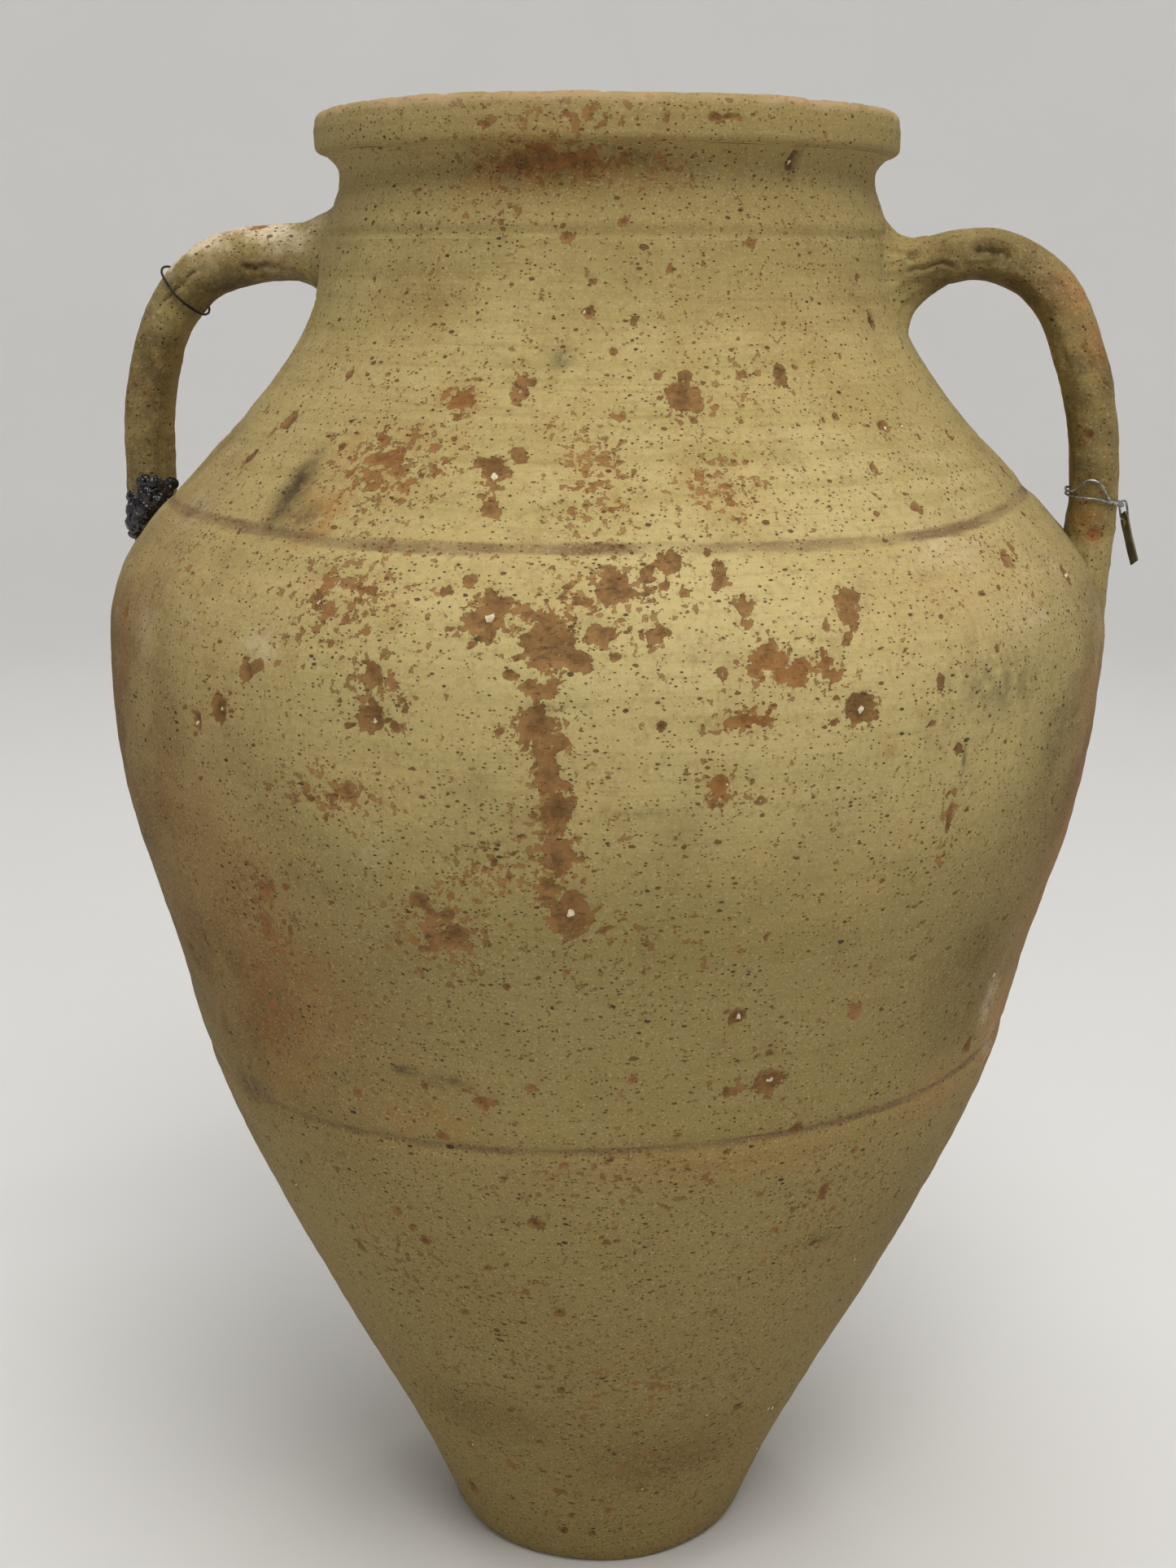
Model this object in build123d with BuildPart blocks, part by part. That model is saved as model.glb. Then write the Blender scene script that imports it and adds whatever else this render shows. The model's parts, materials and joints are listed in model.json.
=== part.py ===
from build123d import *
import math
import os

os.makedirs("parts", exist_ok=True)

# A hand-thrown clay storage jar with two handles, in millimetres.
# The origin is the centre of its foot, +Z is up, and the handles lie along X.

# Driving dimensions
jar_height = 620.0
foot_radius = 66.0
wall = 13.0
floor_thickness = 16.0
foot_flare = 0.45

# Heights where one thrown or coiled piece of clay meets the next
lower_seam_height = 247.0
shoulder_seam_height = 469.0
neck_base_height = 570.0
seam_coil_height = 8.0

# Rim
rim_radius = 117.0
rim_band_height = 16.5
rim_edge_radius = 4.5
waist_radius = 108.0
waist_height = 594.0
mouth_radius = 95.0
mouth_depth = 20.0
lip_radius = 3.0
rim_foot_height = 2.0
rim_foot_width = 1.5
cove_height = 4.0
cove_width = 2.5

# Handles: oval clay straps, wide across the jar (Y) and thin away from it
handle_depth = 31.0
left_strap_thickness = 23.4
right_strap_thickness = 20.8

# Wires, and the tag that hangs from the right one
wire_radius = 0.6
link_wire_radius = 0.45
link_radius = 1.5
link_length = 7.6
eyelet_bore_radius = 1.7
eyelet_flange_radius = 3.0
eyelet_length = 1.2
tag_length = 22.0
tag_width = 16.0
tag_thickness = 0.8
tag_hole_inset = 3.6
tag_corner_cut = 4.0
tag_turn = -18.0

rim_bottom = jar_height - rim_band_height

# Outside of the jar as radius and height, from the foot to the neck's waist
outside = [
    (foot_radius, 0.0),
    (111.5, 100.0),
    (159.0, 200.0),
    (174.0, 243.0),
    (182.5, 280.0),
    (193.6, 320.0),
    (203.0, 360.0),
    (207.2, 398.0),
    (206.6, 424.0),
    (198.5, 446.0),
    (184.5, 463.0),
    (167.5, 481.0),
    (149.5, 500.0),
    (133.4, 520.0),
    (121.5, 540.0),
    (115.0, neck_base_height),
    (waist_radius, waist_height),
]


def inset(stations, distance):
    """Points the given distance inside a run of (radius, height) points, along its normals."""
    moved = []
    for index in range(1, len(stations) - 1):
        before = stations[index - 1]
        after = stations[index + 1]
        run = math.hypot(after[0] - before[0], after[1] - before[1])
        normal_r = (after[1] - before[1]) / run
        normal_z = -(after[0] - before[0]) / run
        radius, height = stations[index]
        moved.append((radius - distance * normal_r, height - distance * normal_z))
    return moved


inside_foot = (foot_radius - wall + foot_flare * floor_thickness, floor_thickness)
inside_mouth = (mouth_radius, jar_height - mouth_depth)
inside = [inside_foot] + inset(outside, wall) + [inside_mouth]

# The whole thrown wall with its floor, which the separate pieces of clay are cut from
with BuildPart() as thrown_wall:
    with BuildSketch(Plane.XZ):
        with BuildLine():
            outer_line = Spline(*outside)
            underside = Line(outer_line @ 1, (waist_radius + cove_width, rim_bottom - cove_height))
            cove = Line(underside @ 1, (rim_radius - rim_foot_width, rim_bottom))
            rim_foot = Line(cove @ 1, (rim_radius, rim_bottom + rim_foot_height))
            band = Line(rim_foot @ 1, (rim_radius, jar_height - rim_edge_radius))
            rim_edge = RadiusArc(
                band @ 1, (rim_radius - rim_edge_radius, jar_height), -rim_edge_radius
            )
            top = Line(rim_edge @ 1, (mouth_radius + lip_radius, jar_height))
            lip = RadiusArc(top @ 1, (mouth_radius, jar_height - lip_radius), -lip_radius)
            mouth_wall = Line(lip @ 1, inside_mouth)
            inner_line = Spline(*reversed(inside))
            floor_line = Line(inner_line @ 1, (0.0, floor_thickness))
            axis_line = Line(floor_line @ 1, (0.0, 0.0))
            foot_line = Line(axis_line @ 1, outside[0])
        make_face()
    revolve(axis=Axis.Z)

# The room the jar's outside takes up, filled solid, for cutting handles and clay to fit it
with BuildPart() as outside_form:
    with BuildSketch(Plane.XZ):
        with BuildLine():
            form_line = Spline(*outside)
            form_top = Line(form_line @ 1, (0.0, waist_height))
            form_axis = Line(form_top @ 1, (0.0, 0.0))
            form_foot = Line(form_axis @ 1, outside[0])
        make_face()
    revolve(axis=Axis.Z)


def finish(piece, name):
    """Label a piece and write it to its own file."""
    piece.part.label = name
    export_step(piece.part, f"parts/{name}.step")


# Clay pieces of the wall, from the foot up: name, lowest height, highest height
half_coil = seam_coil_height / 2
wall_pieces = [
    ("base_disc", 0.0, floor_thickness),
    ("lower_body", floor_thickness, lower_seam_height - half_coil),
    ("lower_seam_coil", lower_seam_height - half_coil, lower_seam_height + half_coil),
    ("belly", lower_seam_height + half_coil, shoulder_seam_height - half_coil),
    ("shoulder_seam_coil", shoulder_seam_height - half_coil, shoulder_seam_height + half_coil),
    ("shoulder", shoulder_seam_height + half_coil, neck_base_height),
    ("neck", neck_base_height, rim_bottom),
    ("rim", rim_bottom, jar_height),
]
for piece_name, low, high in wall_pieces:
    with BuildPart() as wall_piece:
        add(thrown_wall.part)
        split(bisect_by=Plane.XY.offset(low), keep=Keep.TOP)
        split(bisect_by=Plane.XY.offset(high), keep=Keep.BOTTOM)
    finish(wall_piece, piece_name)

# Centre lines of the handles as (distance from the axis, height), from inside the neck to
# inside the belly. The left strap bends more sharply than the right one.
handle_centres = {
    "left": [
        (98, 562), (150, 566), (177, 557.5), (190.5, 542), (198.5, 516), (201.5, 476), (199, 438), (190, 410),
    ],
    "right": [
        (98, 561), (150, 567), (177.5, 556), (191.5, 532), (199, 503), (200.5, 470), (197, 440), (188, 410),
    ],
}
strap_thickness = {"left": left_strap_thickness, "right": right_strap_thickness}
side_sign = {"left": -1, "right": 1}

# Clay smeared round each root, as ovals across the handle: distance from the axis, height,
# lean of the handle from the vertical, clay over the strap's flat side, half the oval's width
root_ovals = {
    "upper": [
        (98.0, 560.0, 90.0, 15.0, 31.0),
        (124.0, 563.5, 90.0, 3.6, 20.0),
        (139.0, 565.5, 90.0, 0.9, 16.4),
    ],
    "lower": [
        (181.0, 398.0, 16.0, 5.0, 27.0),
        (194.0, 428.0, 10.0, 3.4, 24.0),
        (199.2, 452.0, 2.0, 0.9, 16.6),
    ],
}

straps = {}
for side in ("left", "right"):
    sign = side_sign[side]
    with BuildPart() as strap:
        with BuildLine():
            strap_line = Spline(*[(sign * distance, 0, height) for distance, height in handle_centres[side]])
        start_plane = Plane(origin=strap_line @ 0, x_dir=(0, 1, 0), z_dir=strap_line % 0)
        with BuildSketch(start_plane):
            Ellipse(handle_depth / 2, strap_thickness[side] / 2)
        sweep(path=strap_line)
        add(outside_form.part, mode=Mode.SUBTRACT)
    straps[side] = strap.part
    finish(strap, f"handle_{side}")

root_clay = {}
for side in ("left", "right"):
    for place in ("upper", "lower"):
        with BuildPart() as clay:
            for distance, height, lean, cover, half_width in root_ovals[place]:
                tilt = math.radians(lean)
                along = (side_sign[side] * math.sin(tilt), 0, math.cos(tilt))
                middle = (side_sign[side] * distance, 0, height)
                with BuildSketch(Plane(origin=middle, x_dir=(0, 1, 0), z_dir=along)):
                    Ellipse(half_width, strap_thickness[side] / 2 + cover)
            loft()
            add(outside_form.part, mode=Mode.SUBTRACT)
            add(straps[side], mode=Mode.SUBTRACT)
        root_clay[side, place] = clay.part
        finish(clay, f"{side}_{place}_root_clay")


def loop_plane(side, distance, height, lean):
    """Plane of a wire loop round a handle; lean tips the loop's outer edge down, in degrees."""
    tilt = math.radians(lean)
    outer_edge = (side_sign[side] * math.cos(tilt), 0, -math.sin(tilt))
    normal = (side_sign[side] * math.sin(tilt), 0, math.cos(tilt))
    return Plane(origin=(side_sign[side] * distance, 0, height), x_dir=outer_edge, z_dir=normal)


# A thin dark wire round the left handle's bend, standing off a little on the outside
left_loop_half_x = left_strap_thickness / 2 + 2.0
loop_half_y = handle_depth / 2 + 1.2
with BuildPart() as left_wire:
    with BuildLine(loop_plane("left", 184.8, 551.2, -50.0)):
        left_loop = EllipticalCenterArc((0, 0), left_loop_half_x, loop_half_y, arc_size=360)
    with BuildSketch(Plane(origin=left_loop @ 0, z_dir=left_loop % 0)):
        Circle(wire_radius)
    sweep(path=left_loop)
finish(left_wire, "left_wire")

# A galvanised wire round the right handle above its lower root, loose on the outside
right_loop_half_x = 12.3
right_loop_plane = loop_plane("right", 201.4, 471.4, 15.0)
with BuildPart() as right_wire:
    with BuildLine(right_loop_plane):
        right_loop = EllipticalCenterArc((0, 0), right_loop_half_x, loop_half_y, arc_size=360)
    with BuildSketch(Plane(origin=right_loop @ 0, z_dir=right_loop % 0)):
        Circle(wire_radius)
    sweep(path=right_loop)
finish(right_wire, "right_wire")

# A link and a blank tag hang from the loop's outer side and lean out over the root clay.
# down runs from the wire to the tag, along_wire is level, and outward faces away from the jar.
hang_place = math.radians(15.0)
hang_lean = math.radians(11.0)
hang_point = right_loop_plane.from_local_coords(
    Vector(right_loop_half_x * math.cos(hang_place), loop_half_y * math.sin(hang_place), 0)
)
hang_yaw = math.atan2(right_loop_half_x * math.sin(hang_place), loop_half_y * math.cos(hang_place))
along_wire = Vector(-math.sin(hang_yaw), math.cos(hang_yaw), 0)
away = Vector(math.cos(hang_yaw), math.sin(hang_yaw), 0)
down = away * math.sin(hang_lean) - Vector(0, 0, math.cos(hang_lean))
outward = down.cross(along_wire)

link_side = link_length - 2 * link_radius
link_top = hang_point + down * (link_radius - link_wire_radius - wire_radius - 0.1)
with BuildPart() as tag_link:
    with BuildLine(Plane(origin=link_top, x_dir=down, z_dir=along_wire)) as link_path:
        near_side = Line((0, -link_radius), (link_side, -link_radius))
        lower_bend = CenterArc((link_side, 0), link_radius, -90, 180)
        far_side = Line((link_side, link_radius), (0, link_radius))
        upper_bend = CenterArc((0, 0), link_radius, 90, 180)
    with BuildSketch(Plane(origin=near_side @ 0, z_dir=near_side % 0)):
        Circle(link_wire_radius)
    sweep(path=link_path.wire())
finish(tag_link, "tag_link")

# The eyelet hangs on the link's lowest point, and the tag sits turned in its own plane
link_bottom = link_top + down * (link_side + link_radius)
eyelet_centre = link_bottom + down * (eyelet_bore_radius - link_wire_radius - 0.25)
tag_plane = Plane(origin=eyelet_centre, x_dir=down, z_dir=outward).rotated((0, 0, tag_turn))
barrel_radius = eyelet_bore_radius + 0.5
with BuildPart() as tag_eyelet:
    with BuildSketch(tag_plane):
        Circle(barrel_radius)
        Circle(eyelet_bore_radius, mode=Mode.SUBTRACT)
    extrude(amount=eyelet_length / 2, both=True)
    with BuildSketch(tag_plane.offset(tag_thickness / 2)):
        Circle(eyelet_flange_radius)
        Circle(eyelet_bore_radius, mode=Mode.SUBTRACT)
    extrude(amount=(eyelet_length - tag_thickness) / 2)
finish(tag_eyelet, "tag_eyelet")

with BuildPart() as hang_tag:
    with BuildSketch(tag_plane):
        with Locations((tag_length / 2 - tag_hole_inset, 0)):
            Rectangle(tag_length, tag_width)
        chamfer(vertices().group_by(Axis.X)[0], length=tag_corner_cut)
        Circle(barrel_radius, mode=Mode.SUBTRACT)
    extrude(amount=tag_thickness / 2, both=True)
finish(hang_tag, "hang_tag")

# Hardened pitch in the crook of the left handle's lower root: middle and radius of each lump
pitch_lumps = [
    ((-197.0, -16.0, 465.0), 5.2),
    ((-203.5, -14.0, 458.5), 5.0),
    ((-198.0, -18.0, 459.5), 5.6),
    ((-203.5, -16.5, 453.0), 4.8),
    ((-190.8, -13.0, 466.0), 4.2),
]
with BuildPart() as pitch_lump:
    for middle, radius in pitch_lumps:
        with Locations(middle):
            Sphere(radius, rotation=(90, 0, 40))
    add(straps["left"], mode=Mode.SUBTRACT)
    add(root_clay["left", "lower"], mode=Mode.SUBTRACT)
finish(pitch_lump, "pitch_lump")

print("link swing: point", hang_point, "axis", along_wire * -1)
print("tag swing: point", link_bottom, "axis", outward)
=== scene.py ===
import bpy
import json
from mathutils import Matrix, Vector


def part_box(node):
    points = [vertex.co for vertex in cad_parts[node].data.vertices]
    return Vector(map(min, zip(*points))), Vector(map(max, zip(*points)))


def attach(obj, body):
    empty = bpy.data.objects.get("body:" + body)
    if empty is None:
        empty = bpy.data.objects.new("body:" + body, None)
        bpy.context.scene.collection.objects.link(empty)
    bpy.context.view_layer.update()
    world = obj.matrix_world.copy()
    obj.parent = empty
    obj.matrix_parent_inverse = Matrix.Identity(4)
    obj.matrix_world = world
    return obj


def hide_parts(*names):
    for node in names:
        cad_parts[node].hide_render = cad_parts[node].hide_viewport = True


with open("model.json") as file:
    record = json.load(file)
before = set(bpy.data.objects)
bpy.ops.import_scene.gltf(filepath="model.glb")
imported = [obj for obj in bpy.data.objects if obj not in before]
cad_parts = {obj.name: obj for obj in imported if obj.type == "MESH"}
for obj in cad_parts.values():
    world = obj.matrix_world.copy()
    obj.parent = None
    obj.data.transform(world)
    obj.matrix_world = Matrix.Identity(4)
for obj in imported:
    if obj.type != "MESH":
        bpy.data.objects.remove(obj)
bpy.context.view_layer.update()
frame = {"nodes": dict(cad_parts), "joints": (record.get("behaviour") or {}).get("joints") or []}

import json
import math

import bmesh
import bpy
import numpy as np
from mathutils import Matrix, Vector

# The jar is worked out in millimetres and turned into metres when a mesh is made.
# Angles round the jar are in degrees from the front (-Y), growing towards the right handle (+X).
MM = 0.001
FRONT = 9.5

# ---------------- noise and small helpers


def unit(vectors):
    """Vectors scaled to length 1."""
    return vectors / np.linalg.norm(vectors, axis=-1)[..., None]


def columns(*values):
    """Numbers or arrays side by side along a new last axis."""
    return np.stack(values, axis=-1)


noise_table = np.random.default_rng(4)
HASH = noise_table.permutation(256)
GRADIENTS = unit(noise_table.normal(size=(256, 3)))


def noise(points, size, seed=0):
    """Smooth gradient noise, about -1 to 1, with lumps of the given size in the points' unit."""
    place = np.asarray(points, float) / size + seed * 13.7
    cell = np.floor(place).astype(int)
    part = place - cell
    ease = part**3 * (part * (part * 6 - 15) + 10)
    total = np.zeros(len(place))
    for corner in np.ndindex(2, 2, 2):
        ids = (cell + corner) & 255
        key = HASH[(HASH[(HASH[ids[:, 0]] + ids[:, 1]) & 255] + ids[:, 2]) & 255]
        weight = np.prod(np.where(np.array(corner) == 1, ease, 1 - ease), axis=1)
        total += weight * np.sum(GRADIENTS[key] * (part - corner), axis=1)
    return total * 1.7


def ramp(value, low, high):
    """0 below low, 1 above high, with a smooth rise between."""
    t = np.clip((value - low) / (high - low), 0, 1)
    return t * t * (3 - 2 * t)


def bell(value, width):
    return np.exp(-((value / width) ** 2))


def wrapped(degrees):
    """The same angle between -180 and 180 degrees."""
    return (degrees + 180) % 360 - 180


class Curve:
    """A natural cubic spline through points, as a function of their first column."""

    def __init__(self, knots, values):
        self.x = np.asarray(knots, float)
        self.y = np.asarray(values, float)
        count = len(self.x)
        step = np.diff(self.x)
        matrix = np.eye(count)
        right = np.zeros((count,) + self.y.shape[1:])
        for i in range(1, count - 1):
            matrix[i, i - 1 : i + 2] = step[i - 1], 2 * (step[i - 1] + step[i]), step[i]
            after, before = self.y[i + 1] - self.y[i], self.y[i] - self.y[i - 1]
            right[i] = 6 * (after / step[i] - before / step[i - 1])
        self.bend = np.linalg.solve(matrix, right)

    def __call__(self, x):
        x = np.asarray(x, float)
        i = np.clip(np.searchsorted(self.x, x) - 1, 0, len(self.x) - 2)
        step = self.x[i + 1] - self.x[i]
        a = (self.x[i + 1] - x) / step
        b = (x - self.x[i]) / step
        if self.y.ndim == 2:
            step, a, b = step[..., None], a[..., None], b[..., None]
        bent = (a**3 - a) * self.bend[i] + (b**3 - b) * self.bend[i + 1]
        return a * self.y[i] + b * self.y[i + 1] + bent * step**2 / 6


def lengths_along(spots):
    """Distances from the first of several spots to each of them, along the line through them."""
    return np.concatenate([[0], np.cumsum(np.linalg.norm(np.diff(spots, axis=0), axis=1))])


def curve_through(spots):
    """A spline through spots, as a function of the distance along them, and its length."""
    spots = np.asarray(spots, float)
    steps = lengths_along(spots)
    return Curve(steps, spots), steps[-1]


def jar_point(angle, radius, height):
    turn = np.radians(angle)
    return columns(radius * np.sin(turn), -radius * np.cos(turn), height + 0 * turn)


def linked(name, data):
    """A new object in the scene."""
    made = bpy.data.objects.new(name, data)
    bpy.context.scene.collection.objects.link(made)
    return made


def make_object(name, points, faces, layers=None, sharp=50.0):
    """A mesh from points in millimetres, with one float attribute for each painted layer."""
    mesh = bpy.data.meshes.new(name)
    mesh.from_pydata((np.asarray(points) * MM).tolist(), [], faces)
    shell = bmesh.new()
    shell.from_mesh(mesh)
    bmesh.ops.recalc_face_normals(shell, faces=shell.faces)
    shell.to_mesh(mesh)
    shell.free()
    for layer, values in (layers or {}).items():
        attribute = mesh.attributes.new(layer, "FLOAT", "POINT")
        attribute.data.foreach_set("value", np.asarray(values, np.float32))
    mesh.polygons.foreach_set("use_smooth", [True] * len(mesh.polygons))
    mesh.set_sharp_from_angle(angle=math.radians(sharp))
    return linked(name, mesh)


def grid_faces(rows, width, first=0):
    """Quads of a grid of points, width to a row, that closes on itself along its rows."""
    row, k = np.meshgrid(np.arange(rows - 1) * width, np.arange(width), indexing="ij")
    after = (k + 1) % width
    quads = columns(row + k, row + after, row + width + after, row + width + k)
    return (quads.reshape(-1, 4) + first).tolist()


def closing_faces(rows, width, shift=0):
    """Quads that join the last row of such a grid to its first, turned by some points."""
    last = (rows - 1) * width
    k = np.arange(width)
    after = (k + 1) % width
    return columns(last + k, last + after, (after + shift) % width, (k + shift) % width).tolist()


# ---------------- the jar's outline, from the frame
def outline_of(nodes, side):
    """Radius against height of the nodes' outward (+1) or inward (-1) facing walls."""
    found = {}
    for name in nodes:
        mesh = frame["nodes"][name].data
        for face in mesh.polygons:
            centre = face.center
            facing = (centre.x * face.normal.x + centre.y * face.normal.y) / math.hypot(centre.x, centre.y)
            if facing * side < 0.25:
                continue
            for index in face.vertices:
                spot = mesh.vertices[index].co
                found[round(spot.z / MM, 1)] = (spot.z / MM, math.hypot(spot.x, spot.y) / MM)
    spots = [found[key] for key in sorted(found)]
    kept = spots[:1]
    for spot in spots[1:]:
        if spot[0] - kept[-1][0] > 4.0:
            kept.append(spot)
    return Curve([height for height, _ in kept], [radius for _, radius in kept])


def levels(node):
    """The lowest and highest level of a CAD node, in millimetres."""
    low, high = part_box(node)
    return low.z / MM, high.z / MM


wall_nodes = ["base_disc", "lower_body", "lower_seam_coil", "belly", "shoulder_seam_coil", "shoulder"]
outside = outline_of(wall_nodes, 1)
inside = outline_of(wall_nodes[1:], -1)
rim_bottom, jar_height = levels("rim")
rim_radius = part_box("rim")[1].x / MM
neck_base = levels("neck")[0]
floor_top = levels("base_disc")[1]
waist_height = jar_height - 26.0
mouth_radius = 95.0
shoulder_seam = sum(levels("shoulder_seam_coil")) / 2
lower_seam = sum(levels("lower_seam_coil")) / 2


def shoulder_seam_at(angle):
    climb = 5.5 * bell(angle - 84, 30)
    return shoulder_seam - np.cos(np.radians(angle - 8)) + 0.8 * np.sin(np.radians(5 * angle)) + climb


def lower_seam_at(angle):
    return lower_seam + 6.0 * np.sin(np.radians(angle - 12)) + 0.8 * np.sin(np.radians(4 * angle + 40))


# ---------------- marks of wear, stains and painted shade
# Craters where lime grains burst or the slip flaked: angle, height, half width, half height,
# depth, and 1 if a white grain still sits in it
craters = [
    (-5, 491, 6.5, 7, 1.7, 1), (-4, 519, 3.5, 6.5, 1.6, 1), (21, 516, 8, 7, 1.2, 0),
    (38, 523, 4, 4.5, 1.3, 0), (34, 416, 8.5, 7.5, 1.9, 1), (34, 449, 5.5, 7, 1.5, 0),
    (23, 451, 4.5, 5.5, 1.2, 0), (-2, 448, 9, 8, 1.8, 1), (4, 440, 11, 12, 1.2, 0),
    (-13, 412, 6.5, 6, 1.6, 1), (-32, 408, 5.5, 7, 2.2, 1), (-36, 401, 4, 5, 2, 1),
    (-28, 423, 4, 4, 1.6, 0), (29, 274, 7.5, 6.5, 2.1, 1), (6, 347, 9.5, 10, 1.4, 1),
    (24, 304, 4, 3.5, 1.5, 1), (-5, 266, 5, 3.5, 1.6, 0), (-21, 449, 3, 3.5, 1.4, 1),
    (-9, 348, 5, 4, 1.2, 0), (16, 464, 6.5, 4.5, 1.1, 0), (21, 461, 3.5, 4.5, 1.3, 0),
    (54, 504, 3, 2.5, 1.3, 1), (-13, 514, 6, 5, 0.8, 0), (3, 413, 8.5, 9, 1.1, 0), (4, 397, 5.5, 9, 0.8, 0),
    (5, 384, 6.5, 8, 0.8, 0), (5, 367, 8, 8, 1, 0), (10, 457, 8, 6, 0.9, 0), (14, 443, 5, 5, 0.9, 0),
    (2, 426, 3, 3, 0.8, 0), (27, 430, 8, 5, 0.9, 0), (22, 415, 7, 2.5, 0.7, 0), (20, 392, 3.5, 5, 0.7, 0),
    (-13, 428, 4, 6, 0.9, 0), (-29, 341, 3.5, 6, 0.9, 0), (-30, 325, 3, 6, 0.9, 0), (46, 371, 2, 9, 0.7, 0),
    (-16, 385, 6, 3, 0.6, 0), (-6, 336, 7, 7, 0.8, 0), (2, 571, 3, 2.5, 0.9, 0),
    (12, 576, 1.8, 1.8, 1.2, 0), (36, 569, 2.6, 2.6, 1.1, 0), (10, 204, 2.4, 1.8, 1.3, 0),
    (-2, 175, 3, 2, 1, 0), (42, 190, 2.4, 2, 1.3, 0), (-2, 47, 3, 2.2, 0.8, 0), (66, 541, 2.2, 3.2, 2, 0),
    (72, 448, 2.5, 5, 1.2, 1), (63, 460, 2.2, 3, 1.2, 0), (47, 598, 2.6, 5, 1.3, 1),
    (31, 612, 5, 1.6, 1, 0), (-12, 609, 2.5, 1.5, 0.8, 0), (-150, 430, 8, 7, 1.7, 1),
    (-172, 392, 6, 8, 1.4, 0), (150, 455, 7, 6, 1.5, 1), (128, 330, 8, 9, 1.5, 0),
    (-120, 300, 6, 6, 1.8, 1), (170, 500, 5, 6, 1.2, 0), (-105, 455, 5, 5, 1.4, 0),
    (108, 400, 6, 5, 1.6, 1),
]
# Freckled patches of lost slip: angle, height, half width, half height, strength
freckles = [
    (-20, 492, 24, 17, 0.95), (-13, 516, 12, 7, 0.7), (8, 488, 16, 24, 0.75), (23, 487, 22, 16, 0.7),
    (-18, 452, 28, 20, 0.75), (10, 456, 30, 13, 0.75), (0, 446, 26, 12, 0.7), (4, 398, 9, 54, 0.9),
    (-2, 360, 18, 14, 0.95), (-7, 337, 24, 20, 0.85), (27, 430, 20, 9, 0.8), (20, 392, 9, 9, 0.7),
    (22, 415, 15, 6, 0.7), (-13, 425, 16, 14, 0.8), (-18, 383, 26, 11, 0.75), (-30, 325, 18, 24, 0.7),
    (46, 368, 6, 20, 0.7), (-29, 345, 10, 16, 0.7), (-2, 597, 34, 8, 1.0), (20, 595, 14, 7, 0.7),
    (2, 611, 34, 7, 0.75), (-12, 578, 26, 7, 0.45), (30, 520, 18, 14, 0.6), (40, 205, 30, 26, 0.5),
    (-20, 180, 34, 24, 0.45), (10, 120, 50, 30, 0.45), (30, 60, 30, 26, 0.5), (-35, 290, 22, 20, 0.5),
    (10, 232, 50, 18, 0.4), (60, 455, 20, 10, 0.4), (-45, 455, 16, 14, 0.35), (12, 330, 30, 20, 0.35),
    (-160, 430, 50, 26, 0.7), (170, 480, 40, 20, 0.6), (140, 380, 30, 40, 0.75), (-130, 340, 40, 36, 0.65),
    (-100, 470, 30, 18, 0.6), (110, 300, 36, 30, 0.6), (175, 260, 50, 26, 0.55), (-170, 330, 12, 60, 0.8),
    (125, 480, 30, 16, 0.6), (-125, 200, 50, 30, 0.5), (100, 200, 50, 30, 0.5), (180, 150, 50, 40, 0.5),
    (-90, 340, 30, 36, 0.5), (95, 420, 16, 26, 0.5), (-60, 350, 22, 30, 0.4), (150, 585, 50, 10, 0.6),
]
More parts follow.
